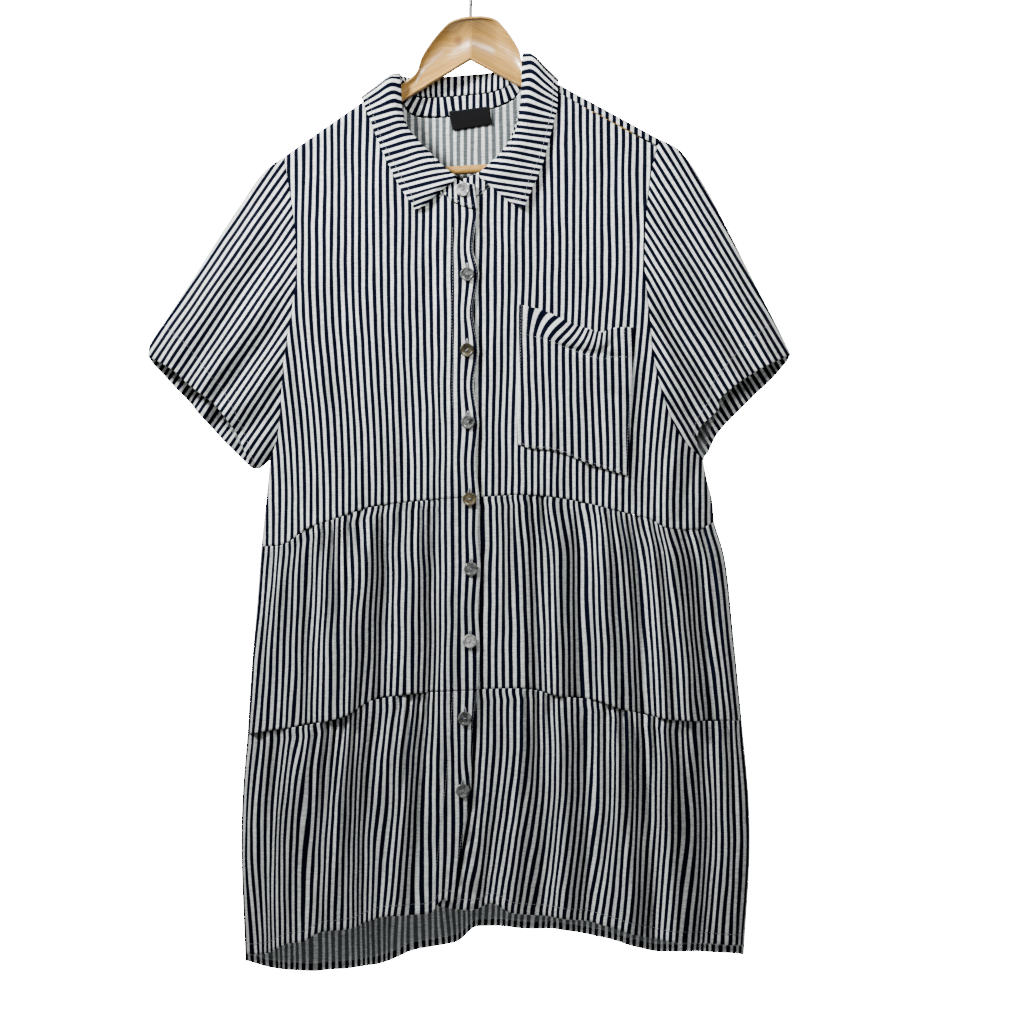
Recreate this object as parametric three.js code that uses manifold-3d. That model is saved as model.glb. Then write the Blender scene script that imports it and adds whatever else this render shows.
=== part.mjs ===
// A short-sleeved shirt dress with two gathered tiers, hung on a wooden hanger.
// Millimetres, +Z up, the front faces -Y, +X is the wearer's left.
// The origin is the inner top of the hanger's hook, where a rod carries it.
// "drop" is the distance below the top of the hanger's wood.
import * as THREE from "three";
import Module from "manifold-3d";
import { mergeVertices } from "three/addons/utils/BufferGeometryUtils.js";

const HOOK_RISE = 78;
const WALL = 1.2;
const HEM_WALL = 1.8;
const BAND_WALL = 2.0;
const GAP = 0.3;
const BAND_WIDTH = 27;
const BAND_LIFT = 2.8;
const HEM_DEEP = 8;
const RIDGE_HALF = 7.5;
const RIDGE_ROUND = 6;
const FORWARD_SEAM = 9;
const FRONT_SEAM = 9.9;
const BUTTON_RADIUS = 7;
const BUTTON_THICK = 2.2;
const ARM_HALF = 5.5;
const BAR_RADIUS = 4.5;
const WIRE_RADIUS = 2;
const HOOK_RADIUS = 19;
const TILT = 0.059;

// Colours and finishes
const cloth = () => new THREE.MeshStandardMaterial({ color: 0x9aa0ac, roughness: 0.9, metalness: 0 });
const blackCloth = () => new THREE.MeshStandardMaterial({ color: 0x0b0b0d, roughness: 0.8, metalness: 0 });
const shell = () => new THREE.MeshStandardMaterial({ color: 0xb9b6a8, roughness: 0.3, metalness: 0 });
const wood = () => new THREE.MeshStandardMaterial({ color: 0xc99a56, roughness: 0.45, metalness: 0 });
const steel = () => new THREE.MeshStandardMaterial({ color: 0xb8bcc0, roughness: 0.25, metalness: 1 });

const table = (columns, rows) => {
  const names = columns.split(" ");
  return rows.map((row) => Object.fromEntries(names.map((name, k) => [name, row[k]])));
};

// A smooth reading of one column of a table against another, held flat past its ends.
function read(rows, by, name, at) {
  const last = rows.length - 1;
  if (at <= rows[0][by]) return rows[0][name];
  if (at >= rows[last][by]) return rows[last][name];
  let k = 0;
  while (rows[k + 1][by] < at) k++;
  const slope = (i) => {
    const a = Math.max(i - 1, 0);
    const b = Math.min(i + 1, last);
    return (rows[b][name] - rows[a][name]) / (rows[b][by] - rows[a][by]);
  };
  const span = rows[k + 1][by] - rows[k][by];
  const t = (at - rows[k][by]) / span;
  const h00 = (1 + 2 * t) * (1 - t) ** 2;
  const h10 = t * (1 - t) ** 2;
  const h01 = t * t * (3 - 2 * t);
  const h11 = t * t * (t - 1);
  return h00 * rows[k][name] + h10 * span * slope(k) + h01 * rows[k + 1][name] + h11 * span * slope(k + 1);
}

// The line of the shoulders, where front and back meet over the hanger
const RIDGE = table("x drop", [
  [-190, 143], [-108, 86], [-77, 67], [58, 44], [75, 57], [92, 70], [192, 124], [215, 137],
]);
// How far front and back stand out, and the side edges below the underarm
const SECTIONS = table("drop front back left right", [
  [60, 13, 11, -206, 234],
  [200, 21, 16, -206, 234],
  [300, 26, 20, -205, 234],
  [400, 29, 22, -203, 234],
  [448, 30, 23, -202, 235],
  [488, 30, 24, -206, 244],
  [528, 31, 25, -211, 253],
  [588, 32, 26, -215, 262],
  [668, 34, 28, -222, 270],
  [724, 35, 29, -226, 276],
  [788, 36, 30, -230, 281],
  [848, 37, 31, -231, 282],
  [948, 38, 31, -227, 276],
]);
const SIDE_FROM = 330;
const SIDE_TO = 446;
const UNDERARM = 448;
const SIDE_STEPS = 24;
const SIDE_LET_IN = 0.15;
const RISE_OVER = 160;

const clamp = THREE.MathUtils.clamp;
const ease = THREE.MathUtils.smoothstep;
const mix = THREE.MathUtils.lerp;

// The depth of the front or the back at a place, without its folds
function depth(side, x, drop) {
  const below = Math.max(drop - read(RIDGE, "x", "drop", x), 0);
  const full = read(SECTIONS, "drop", side, drop);
  let out = RIDGE_HALF + (full - RIDGE_HALF) * ease(below, 0, RISE_OVER);
  const over = 1 - clamp(below / RIDGE_ROUND, 0, 1);
  out *= Math.sqrt(1 - over * over);
  const seamed = drop > UNDERARM;
  const letIn = SIDE_LET_IN * ease(drop, UNDERARM, UNDERARM + 12);
  const left = seamed ? read(SIDES.right, "drop", "x", drop) + letIn : read(SECTIONS, "drop", "left", drop);
  const right = seamed ? read(SIDES.left, "drop", "x", drop) - letIn : read(SECTIONS, "drop", "right", drop);
  const s = clamp(Math.abs(x - (left + right) / 2) / ((right - left) / 2), 0, 1);
  const closing = ease(drop, SIDE_FROM, SIDE_TO);
  return out * (1 - closing + closing * Math.sqrt(1 - s ** 4));
}

const place3 = (x, y, drop) => new THREE.Vector3(x, y, -HOOK_RISE - drop);

// A smooth line through points, read by its share of the length
function line(points) {
  const at = [0];
  for (let k = 1; k < points.length; k++) {
    at.push(at[k - 1] + Math.hypot(points[k][0] - points[k - 1][0], points[k][1] - points[k - 1][1]));
  }
  const rows = points.map((p, k) => ({ s: at[k] / at[at.length - 1], x: p[0], drop: p[1] }));
  return (t) => [read(rows, "s", "x", t), read(rows, "s", "drop", t)];
}
// Lines end to end, each with the share at which it ends, so their corners stay sharp
function chain(...parts) {
  return (t) => {
    let from = 0;
    for (const [to, part] of parts) {
      if (t <= to) return part((t - from) / (to - from));
      from = to;
    }
    return parts[parts.length - 1][1](1);
  };
}
// A patch between four lines
function patch(top, bottom, left, right) {
  const corner = [top(0), top(1), bottom(0), bottom(1)];
  return (u, v) => [0, 1].map((k) =>
    (1 - v) * top(u)[k] + v * bottom(u)[k] + (1 - u) * left(v)[k] + u * right(v)[k]
    - (1 - u) * (1 - v) * corner[0][k] - u * (1 - v) * corner[1][k]
    - (1 - u) * v * corner[2][k] - u * v * corner[3][k]);
}

function closedBody(corners) {
  const geometry = new THREE.BufferGeometry();
  const flat = [];
  let volume = 0;
  for (const [a, b, c] of corners) volume += a.dot(b.clone().cross(c));
  for (const [a, b, c] of corners) {
    for (const p of volume > 0 ? [a, b, c] : [a, c, b]) flat.push(p.x, p.y, p.z);
  }
  geometry.setAttribute("position", new THREE.Float32BufferAttribute(flat, 3));
  geometry.computeVertexNormals();
  return geometry;
}

// A cloth wall: a grid of outer points, moved in by the wall to give the inner ones.
// "edges" says which part of the normal is dropped at each edge, so that seams stay parallel.
function wall(us, vs, outer, options = {}) {
  const { thick = () => WALL, turn = 1, loop = false, edges = {}, keep = (p) => p } = options;
  const nu = us.length;
  const nv = vs.length;
  const out = us.map((u) => vs.map((v) => outer(u, v)));
  const inn = us.map((u, i) => vs.map((v, j) => {
    const before = loop ? (i + nu - 1) % nu : Math.max(i - 1, 0);
    const after = loop ? (i + 1) % nu : Math.min(i + 1, nu - 1);
    const du = out[after][j].clone().sub(out[before][j]);
    const dv = out[i][Math.min(j + 1, nv - 1)].clone().sub(out[i][Math.max(j - 1, 0)]);
    const normal = du.cross(dv).multiplyScalar(turn).normalize();
    for (const [edge, here] of [["top", j === 0], ["bottom", j === nv - 1],
      ["start", !loop && i === 0], ["end", !loop && i === nu - 1]]) {
      if (here && edges[edge]) edges[edge](normal, u, v);
    }
    normal.normalize();
    return keep(out[i][j].clone().addScaledVector(normal, -thick(u, v)));
  }));
  const faces = [];
  const quad = (a, b, c, d) => faces.push([a, b, c], [a, c, d]);
  const columns = loop ? nu : nu - 1;
  for (let i = 0; i < columns; i++) {
    const n = (i + 1) % nu;
    for (let j = 0; j < nv - 1; j++) {
      quad(out[i][j], out[n][j], out[n][j + 1], out[i][j + 1]);
      quad(inn[i][j + 1], inn[n][j + 1], inn[n][j], inn[i][j]);
    }
    quad(inn[i][0], inn[n][0], out[n][0], out[i][0]);
    quad(out[i][nv - 1], out[n][nv - 1], inn[n][nv - 1], inn[i][nv - 1]);
  }
  if (!loop) {
    for (let j = 0; j < nv - 1; j++) {
      quad(inn[0][j], out[0][j], out[0][j + 1], inn[0][j + 1]);
      quad(out[nu - 1][j], inn[nu - 1][j], inn[nu - 1][j + 1], out[nu - 1][j + 1]);
    }
  }
  return closedBody(faces);
}
const flatZ = (n) => n.setZ(0);
const flatX = (n) => n.setX(0);
const SLEEVE_END = 0.7;
const besideSleeve = (n, u, v) => (v < SLEEVE_END ? n.setX(0) : n);
const inFront = (p) => p.setY(Math.min(p.y, -GAP / 2));
const behind = (p) => p.setY(Math.max(p.y, GAP / 2));

const garment = new THREE.Group();
function add(name, geometry, material, parent = garment) {
  const mesh = new THREE.Mesh(geometry, material);
  mesh.name = name;
  parent.add(mesh);
  return mesh;
}

// Seams and edges, as [x, drop]
const armholeRight = line([[-187, 141], [-184, 165], [-179, 190], [-175, 232], [-174, 256],
  [-179, 302], [-186, 345], [-190, 390], [-194, 425], [-202, 448]]);
const sideRight = line([[-202, 448], [-206, 488], [-211, 535]]);
const armholeLeft = line([[192, 124], [186, 140], [181, 165], [176, 210], [175, 258], [180, 305],
  [184, 345], [194, 384], [210, 422], [235, 448]]);
const sideLeft = line([[235, 448], [239, 468], [244, 488], [246, 510]]);
const shoulderRight = line([[-187, 141], [-108, 86], [-77, 67]]);
const shoulderLeft = (lift, inset = 0) => (t) => {
  const x = mix(192 - inset, 58, t);
  return [x, read(RIDGE, "x", "drop", x) + lift];
};
const neckRight = line([[-77, 67], [-76, 90], [-71, 118], [-58, 148], [-38, 173], [-15, 191], [8, 199]]);
const neckLeft = line([[58, 44 + FRONT_SEAM], [57, 85], [53, 112], [44, 140], [30, 162], [10, 182], [-17, 193]]);
const overEdge = line([[8, 199], [3, 236], [9, 262], [3, 300], [9, 338], [4, 373], [9, 410], [6, 448], [9.5, 485]]);
const waistRight = line([[-211, 535], [-186, 532], [-164, 517], [-141, 509], [-118, 501], [-98, 495],
  [-60, 490], [-10, 486], [9.5, 485]]);
const waistLeft = line([[246, 510], [230, 517], [197, 516], [182, 508], [144, 498], [106, 489],
  [58, 483], [10, 485], [-17, 486]]);
const waistBack = line([[-211, 535], [-140, 512], [0, 500], [150, 502], [246, 510]]);
const midRight = line([[-225, 724], [-206, 720], [-168, 714], [-125, 704], [-102, 690], [-68, 683],
  [-39, 680], [8, 678]]);
const midLeft = line([[274, 710], [220, 709], [197, 707], [152, 697], [125, 688], [90, 684],
  [58, 677], [10, 677], [-17, 678]]);
const midBack = line([[-225, 724], [-120, 700], [0, 690], [150, 698], [274, 710]]);
const hemRight = line([[-227, 945], [-208, 944], [-185, 932], [-168, 930], [-150, 920], [-118, 916],
  [-87, 904], [-40, 900], [-28, 887], [-17, 890]]);
const hemLeft = line([[276, 936], [230, 932], [182, 926], [152, 918], [113, 908], [58, 902],
  [40, 899], [22, 891], [5, 897], [-10, 897], [-40, 892]]);
const hemBack = line([[-227, 953], [-198, 964], [-135, 965], [-97, 961], [-59, 946], [-15, 938],
  [8, 921], [60, 925], [86, 924], [120, 930], [182, 945], [276, 947]]);
const sideTier = {
  upperRight: line([[-211, 535], [-215, 588], [-221, 660], [-225, 724]]),
  upperLeft: line([[246, 510], [257, 548], [265, 620], [274, 710]]),
  lowerRight: line([[-225, 724], [-230, 788], [-231, 848], [-227, 945]]),
  lowerLeft: line([[274, 710], [281, 788], [282, 848], [276, 936]]),
};
const sideRightBack = line([[-225, 724], [-230, 788], [-231, 848], [-227, 953]]);
const sideLeftBack = line([[274, 710], [281, 788], [282, 848], [276, 947]]);
// The wearer's right and left side seams as x against drop: front and back close on each other there.
function sideRows(...lines) {
  return lines.flatMap((one, n) => {
    const rows = [];
    for (let k = n ? 1 : 0; k <= SIDE_STEPS; k++) {
      const [x, drop] = one(k / SIDE_STEPS);
      rows.push({ drop, x });
    }
    return rows;
  });
}
const SIDES = {
  right: sideRows(sideRight, sideTier.upperRight, sideTier.lowerRight),
  left: sideRows(sideLeft, sideTier.upperLeft, sideTier.lowerLeft),
};
const edgeTier = {
  upperOver: line([[9.5, 485], [8, 523], [11, 557], [9, 593], [10, 629], [8, 678]]),
  upperUnder: line([[-17, 486], [-17, 678]]),
  lowerOver: line([[8, 678], [5, 706], [2, 743], [1, 778], [-5, 818], [-12, 860], [-17, 890]]),
  lowerUnder: line([[-17, 678], [-19, 740], [-26, 800], [-40, 892]]),
};

// The long folds of the tiers: where each runs, how far it stands out (minus goes in), half its width
const FOLDS = {
  upperRight: table("top foot out wide", [
    [-185, -214, 4, 8], [-163, -160, -4, 7], [-140, -139, 3, 9], [-98, -121, 5, 8], [-88, -87, -5, 7],
    [-55, -60, 3, 10], [-35, -33, -3, 7],
  ]),
  upperLeft: table("top foot out wide", [
    [34, 14, 4, 8], [66, 68, -4, 7], [88, 86, 3, 8], [108, 108, -5, 6], [130, 142, 4, 9],
    [163, 176, -5, 7], [182, 194, 4, 8], [198, 221, 4, 8], [228, 238, -4, 7],
  ]),
  lowerRight: table("top foot out wide", [
    [-192, -210, -5, 8], [-167, -196, 5, 10], [-140, -150, -4, 8], [-120, -150, 5, 9], [-98, -108, -6, 8],
    [-70, -72, 4, 10], [-45, -52, -4, 8],
  ]),
  lowerLeft: table("top foot out wide", [
    [35, 10, -5, 9], [52, 42, 4, 8], [68, 75, -4, 8], [92, 95, 4, 9], [115, 117, -4, 8],
    [148, 161, 5, 9], [170, 180, -4, 8], [196, 203, 5, 9], [232, 238, -4, 9],
  ]),
  back: table("top foot out wide", [
    [-190, -200, 4, 9], [-150, -158, -5, 8], [-112, -110, 5, 10], [-70, -78, -4, 8], [-30, -28, 4, 10],
    [12, 16, -5, 9], [55, 60, 4, 9], [95, 98, -4, 8], [138, 146, 5, 10], [180, 190, -5, 8], [222, 232, 4, 9],
  ]),
};
const GATHER_DEEP = 2.2;
const GATHER_FADE = 0.28;
const GATHER_FOOT = 0.35;
const END_SHARE = 0.03;
const FOLD_TOP = 0.2;
const UNEVEN = table("reach rate", [[0.55, 5.3 * Math.PI], [0.3, 17]]);
const phase = (waves, u) => UNEVEN.reduce((sum, row) => sum + row.reach * Math.sin(row.rate * u), waves * u);
// Gathers shrink fast below the seam, and the long folds grow out of them
function folds(rows, waves, u, v, x) {
  const hold = clamp(Math.min(u, 1 - u) / END_SHARE, 0, 1);
  const wave = Math.cos(2 * Math.PI * phase(waves, u));
  let out = GATHER_DEEP * wave * mix(GATHER_FOOT, 1, ease(v, 0, 0.06)) * Math.exp(-v / GATHER_FADE);
  for (const row of rows) {
    const from = mix(row.top, row.foot, v);
    out += row.out * Math.exp(-(((x - from) / row.wide) ** 2)) * mix(FOLD_TOP, 1, ease(v, 0, 0.3));
  }
  return out * hold;
}
const steps = (count, from = 0, to = 1) =>
  Array.from({ length: count + 1 }, (_, k) => from + ((to - from) * k) / count);

function frontPoint(xd, extra, lift) {
  const [x, drop] = xd;
  return inFront(place3(x, -depth("front", x, drop) - extra - lift, drop));
}
// The over band lies on the under one, so the right front lifts towards its free edge.
const BAND_RISE = [24, 4];
const bandLift = (x, edge) =>
  BAND_LIFT * ease(x, edge - BAND_WIDTH - BAND_RISE[0] + BAND_RISE[1], edge - BAND_WIDTH - BAND_RISE[1]);

const HALF_WAVES = 14;
const BACK_WAVES = 24;
const SIDE_CLOSE = [0, 0.008, 0.03, 0.06];
// A column on every crest and in every trough of the gathers
function gatherColumns(waves, from, to) {
  const columns = [];
  for (let k = 1; k < 2 * waves; k++) {
    let low = 0;
    let high = 1;
    for (let step = 0; step < 30; step++) {
      const middle = (low + high) / 2;
      if (phase(waves, middle) < k / 2) low = middle;
      else high = middle;
    }
    if (low > from && low < to) columns.push(low);
  }
  return columns;
}
const FRONT_GATHERS = [0.075, 0.985];
const BACK_GATHERS = [0.04, 0.96];
const tierColumns = (waves) => [...SIDE_CLOSE, ...gatherColumns(waves, ...FRONT_GATHERS), 1];
const backColumns = (waves) => [...SIDE_CLOSE.map((u) => u / 2), ...gatherColumns(waves, ...BACK_GATHERS),
  ...SIDE_CLOSE.map((u) => 1 - u / 2).reverse()];

const TIER_COLUMNS = tierColumns(HALF_WAVES);
const TIER_BACK_COLUMNS = backColumns(BACK_WAVES);
// The bodice takes every second column of the tier below it, so that their seam is the same line.
const everySecond = (columns) => columns.filter((u, k) => k < 2 || k % 2 === 1 || k >= columns.length - 2);

// Bodice fronts
const BODICE_ROWS = [0, 0.012, 0.035, 0.075, 0.13, 0.2, 0.27, 0.34, 0.42, 0.5, 0.58, 0.66, 0.74, 0.8, 0.9, 1];
const NECK_SHARE = 0.34;
const ARMHOLE_SHARE = 0.8;
const seamGap = (v) => (v >= 1 ? GAP / 2 : 0);
// All panels and the sleeves share their points along the armhole, so that the seam keeps its gap.
const armholeShare = (first) => {
  const rows = table("v t", [[0, first[0]], [0.012, first[1]], [0.035, first[2]], [0.075, 0.09375], [0.8, 1]]);
  return (v) => {
    let k = 0;
    while (k < rows.length - 2 && rows[k + 1].v < v) k++;
    return mix(rows[k].t, rows[k + 1].t, (v - rows[k].v) / (rows[k + 1].v - rows[k].v));
  };
};
const plainShare = armholeShare([0, 0.015, 0.04375]);
const frontLeftShare = armholeShare([0.032, 0.038, 0.04375]);
const beside = (share, armhole, side) => (v) =>
  (v <= ARMHOLE_SHARE ? armhole(share(v)) : side((v - ARMHOLE_SHARE) / (1 - ARMHOLE_SHARE)));
// A line as the straight pieces between the columns of a panel, which its neighbour then follows
const pieced = (whole, columns) => (t) => {
  let k = 0;
  while (k < columns.length - 2 && columns[k + 1] < t) k++;
  const a = whole(columns[k]);
  const b = whole(columns[k + 1]);
  const share = (t - columns[k]) / (columns[k + 1] - columns[k]);
  return [mix(a[0], b[0], share), mix(a[1], b[1], share)];
};

const bodiceRightPatch = patch(shoulderRight, waistRight,
  beside(plainShare, armholeRight, sideRight), chain([NECK_SHARE, neckRight], [1, overEdge]));
const bodiceLeftPatch = patch(shoulderLeft(FRONT_SEAM), waistLeft,
  beside(frontLeftShare, armholeLeft, sideLeft),
  chain([NECK_SHARE, neckLeft], [1, line([[-17, 193], [-17, 486]])]));
const BODICE_COLUMNS = everySecond(TIER_COLUMNS);
const bandThick = (x, edge) => (x > edge - BAND_WIDTH ? BAND_WALL : WALL);

const OVER_EDGES = [overEdge, edgeTier.upperOver, edgeTier.lowerOver];
const overEdgeAt = (drop) => {
  const part = OVER_EDGES.find((edge) => drop < edge(1)[1]) ?? edgeTier.lowerOver;
  const [from, to] = [part(0)[1], part(1)[1]];
  return part(clamp((drop - from) / (to - from), 0, 1))[0];
};
add("bodice_front_right", wall(BODICE_COLUMNS, BODICE_ROWS, (u, v) => {
  const [x, drop] = bodiceRightPatch(u, v);
  return frontPoint([x, drop - seamGap(v)], 0, bandLift(x, overEdgeAt(drop)));
}, {
  turn: -1,
  keep: inFront,
  thick: (u, v) => bandThick(bodiceRightPatch(u, v)[0], overEdgeAt(bodiceRightPatch(u, v)[1])),
  edges: { bottom: flatZ, end: flatX, start: besideSleeve },
}), cloth());
add("bodice_front_left", wall(BODICE_COLUMNS, BODICE_ROWS, (u, v) => {
  const [x, drop] = bodiceLeftPatch(u, v);
  return frontPoint([x, drop - seamGap(v)], 0, 0);
}, { turn: 1, keep: inFront, edges: { bottom: flatZ, end: flatX, start: besideSleeve } }), cloth());

// Bodice back: its edge on the wearer's left wraps over the shoulder to the forward seam
const neckBack = line([[-77, 67], [-76.5, 73], [-72, 82], [-59, 99], [-22, 101], [21, 93], [45, 82], [55, 62],
  [57, 50], [58, 44 - FORWARD_SEAM]]);
const backLeftShare = armholeShare([0, 0, 0.04375]);
const nearest = (columns, u) => columns.reduce((a, b) => (Math.abs(b - u) < Math.abs(a - u) ? b : a));
const BACK_EVERY = everySecond(TIER_BACK_COLUMNS);
const NECK_FROM = nearest(BACK_EVERY, 0.29);
const NECK_TO = nearest(BACK_EVERY, 0.646);
const NECK_CORNERS = [0.011, 0.022, 0.04, 0.06, 0.085, 0.113];
const WRAP_SHARE = 0.012;
const WRAP_INSET = 3.6;
const forwardSeam = shoulderLeft(-FORWARD_SEAM, WRAP_INSET);
const backPatch = patch(
  chain([NECK_FROM, shoulderRight], [NECK_TO, neckBack],
    [1, (t) => forwardSeam(1 - t)]),
  waistBack, beside(plainShare, armholeRight, sideRight),
  (v) => (v < WRAP_SHARE
    ? [192 - WRAP_INSET * (1 - v / WRAP_SHARE), mix(forwardSeam(0)[1], 124, v / WRAP_SHARE)]
    : beside(backLeftShare, armholeLeft, sideLeft)(v)));
function backPoint([x, drop]) {
  const ridge = read(RIDGE, "x", "drop", x);
  const wrapped = ridge - drop;
  if (wrapped > 0 && x > 50) return place3(x, -depth("front", x, ridge + wrapped), ridge + wrapped);
  return behind(place3(x, depth("back", x, drop), drop));
}
const BACK_COLUMNS = [...BACK_EVERY, NECK_FROM + NECK_CORNERS[0],
  ...NECK_CORNERS.map((gap) => NECK_TO - gap)].sort((a, b) => a - b);
const BACK_ROWS = [0, 0.006, 0.012, 0.0235, ...BODICE_ROWS.slice(2)];
add("bodice_back", wall(BACK_COLUMNS, BACK_ROWS, (u, v) => {
  const [x, drop] = backPatch(u, v);
  return backPoint([x, drop - seamGap(v)]);
}, { turn: 1, keep: (p) => (p.y > -1 ? behind(p) : p),
  edges: { bottom: flatZ, start: besideSleeve, end: besideSleeve } }), cloth());

// Sleeves: a tube from the armhole to the cuff, the front half first and then the back half
const SLEEVES = {
  right: {
    sign: -1,
    armhole: armholeRight,
    upper: line([[-187, 141], [-208, 157], [-232, 191], [-256, 227], [-280, 265], [-304, 302], [-323, 331],
      [-325, 343]]),
    under: line([[-202, 448], [-212, 456], [-220, 456]]),
    cuffFront: line([[-325, 343], [-299, 357], [-284, 371], [-256, 393], [-235, 421], [-220, 456]]),
    cuffBack: line([[-325, 343], [-320, 351], [-289, 384], [-259, 418], [-227, 450], [-220, 456]]),
    folds: table("top foot out wide", [
      [0.1, 0.16, 3, 0.05], [0.24, 0.3, -3, 0.05], [0.38, 0.42, 4, 0.06], [0.55, 0.52, -4, 0.05],
      [0.7, 0.64, 3.5, 0.06], [0.84, 0.78, -3, 0.05],
    ]),
  },
  left: {
    sign: 1,
    armhole: armholeLeft,
    upper: line([[192, 124], [212, 136], [236, 171], [260, 216], [284, 264], [308, 310], [323, 341]]),
    under: line([[235, 448], [236, 444]]),
    cuffFront: line([[323, 341], [285, 360], [252, 385], [249, 397], [231, 415], [228, 433], [236, 444]]),
    cuffBack: line([[323, 341], [319, 349], [304, 366], [285, 384], [266, 403], [249, 422], [240, 440],
      [236, 444]]),
    folds: table("top foot out wide", [
      [0.08, 0.14, 3, 0.05], [0.22, 0.26, -3, 0.05], [0.36, 0.4, 4, 0.06], [0.5, 0.56, -4, 0.06],
      [0.66, 0.7, 4, 0.06], [0.8, 0.82, -3, 0.05],
    ]),
  },
};
const CUFF_HALF = 13;
const SLEEVE_HALF_COLUMNS = BODICE_ROWS.filter((v) => v < ARMHOLE_SHARE).map((v) => plainShare(v));
const SLEEVE_RING = [...SLEEVE_HALF_COLUMNS, 1, ...SLEEVE_HALF_COLUMNS.slice(1).map((a) => 2 - a).reverse()];
const SLEEVE_ROWS = [0, 0.04, 0.15, 0.32, 0.5, 0.68, 0.83, 0.85, 1];
const CUFF_FROM = 0.84;
function sleevePoint(sleeve, k, v) {
  const front = k < 1;
  const a = front ? k : 2 - k;
  const flat = patch(sleeve.armhole, front ? sleeve.cuffFront : sleeve.cuffBack, sleeve.upper, sleeve.under);
  const [x, drop] = flat(a, v);
  const from = sleeve.armhole(a);
  const start = depth(front ? "front" : "back", from[0], from[1]);
  const end = CUFF_HALF * Math.sqrt(1 - (2 * a - 1) ** 4);
  let out = mix(start, end, ease(v, 0, 1));
  const fade = ease(v, 0, 0.25) * (1 - (2 * a - 1) ** 4);
  for (const row of sleeve.folds) {
    out += row.out * fade * Math.exp(-(((a - mix(row.top, row.foot, v)) / row.wide) ** 2));
  }
  const y = front ? -Math.max(out, 0) : Math.max(out, 0);
  return place3(x + sleeve.sign * GAP, y, drop);
}
for (const [name, sleeve] of Object.entries(SLEEVES)) {
  add(`sleeve_${name}`, wall(SLEEVE_RING, SLEEVE_ROWS, (k, v) => sleevePoint(sleeve, k, v), {
    loop: true,
    turn: sleeve.sign,
    thick: (k, v) => (v > CUFF_FROM ? HEM_WALL : WALL),
    edges: { top: flatX },
  }), cloth());
}

// Tiers
const TIER_ROWS = [0, 0.035, 0.1, 0.22, 0.42, 0.7, 1];
const LOWER_LENGTH = 225;
const HEM_SHARE = HEM_DEEP / LOWER_LENGTH;
const HEM_TURN = 1 - 1.15 * HEM_SHARE;
const LOWER_ROWS = [...TIER_ROWS.slice(0, -1), HEM_TURN, 1 - HEM_SHARE, 1];
function tier(name, { top, bottom, side, edge, rows, waves, over, hem, turn }) {
  const flat = patch(top, bottom, side, edge);
  const spot = (u, v) => {
    const [x, drop] = flat(u, v);
    const gap = v === 0 ? GAP / 2 : v >= 1 && !hem ? -GAP / 2 : 0;
    return [x, drop + gap];
  };
  add(name, wall(TIER_COLUMNS, hem ? LOWER_ROWS : TIER_ROWS, (u, v) => {
    const [x, drop] = spot(u, v);
    const plain = clamp(Math.abs(x - overEdgeAt(drop)) / BAND_WIDTH - 0.9, 0, 1);
    const fold = folds(rows, waves, u, v, x) * plain;
    return frontPoint([x, drop], fold, over ? bandLift(x, overEdgeAt(drop)) : 0);
  }, {
    turn,
    keep: inFront,
    thick: (u, v) => {
      const [x, drop] = spot(u, v);
      const band = over ? bandThick(x, overEdgeAt(drop)) : WALL;
      return hem && v > HEM_TURN + 1e-6 ? Math.max(band, HEM_WALL) : band;
    },
    edges: { top: flatZ, bottom: flatZ, end: flatX },
  }), cloth());
}
tier("tier_upper_right", { top: pieced(waistRight, BODICE_COLUMNS), bottom: midRight, side: sideTier.upperRight,
  edge: edgeTier.upperOver, rows: FOLDS.upperRight, waves: HALF_WAVES, over: true, turn: -1 });
tier("tier_upper_left", { top: pieced(waistLeft, BODICE_COLUMNS), bottom: midLeft, side: sideTier.upperLeft,
  edge: edgeTier.upperUnder, rows: FOLDS.upperLeft, waves: HALF_WAVES, over: false, turn: 1 });
tier("tier_lower_right", { top: midRight, bottom: hemRight, side: sideTier.lowerRight,
  edge: edgeTier.lowerOver, rows: FOLDS.lowerRight, waves: HALF_WAVES, over: true, hem: true, turn: -1 });
tier("tier_lower_left", { top: midLeft, bottom: hemLeft, side: sideTier.lowerLeft,
  edge: edgeTier.lowerUnder, rows: FOLDS.lowerLeft, waves: HALF_WAVES, over: false, hem: true, turn: 1 });

function backTier(name, top, bottom, left, right, hem) {
  const flat = patch(top, bottom, left, right);
  add(name, wall(TIER_BACK_COLUMNS, hem ? LOWER_ROWS : TIER_ROWS, (u, v) => {
    const [x, drop] = flat(u, v);
    const gap = v === 0 ? GAP / 2 : v >= 1 && !hem ? -GAP / 2 : 0;
    const fold = folds(FOLDS.back, BACK_WAVES, u, v, x);
    return behind(place3(x, depth("back", x, drop + gap) + fold, drop + gap));
  }, {
    turn: 1,
    keep: behind,
    thick: (u, v) => (hem && v > HEM_TURN + 1e-6 ? HEM_WALL : WALL),
    edges: { top: flatZ, bottom: flatZ },
  }), cloth());
}
backTier("tier_upper_back", pieced(waistBack, BACK_COLUMNS), midBack, sideTier.upperRight, sideTier.upperLeft, false);
backTier("tier_lower_back", midBack, hemBack, sideRightBack, sideLeftBack, true);

// Collar: each row is a stripe of the cloth, from its start on the roll line (or on the point's
// front edge) over the roll to the outer edge. "lift" is the height over the body's own depth.
const COLLAR_WALL = 1.4;
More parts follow.
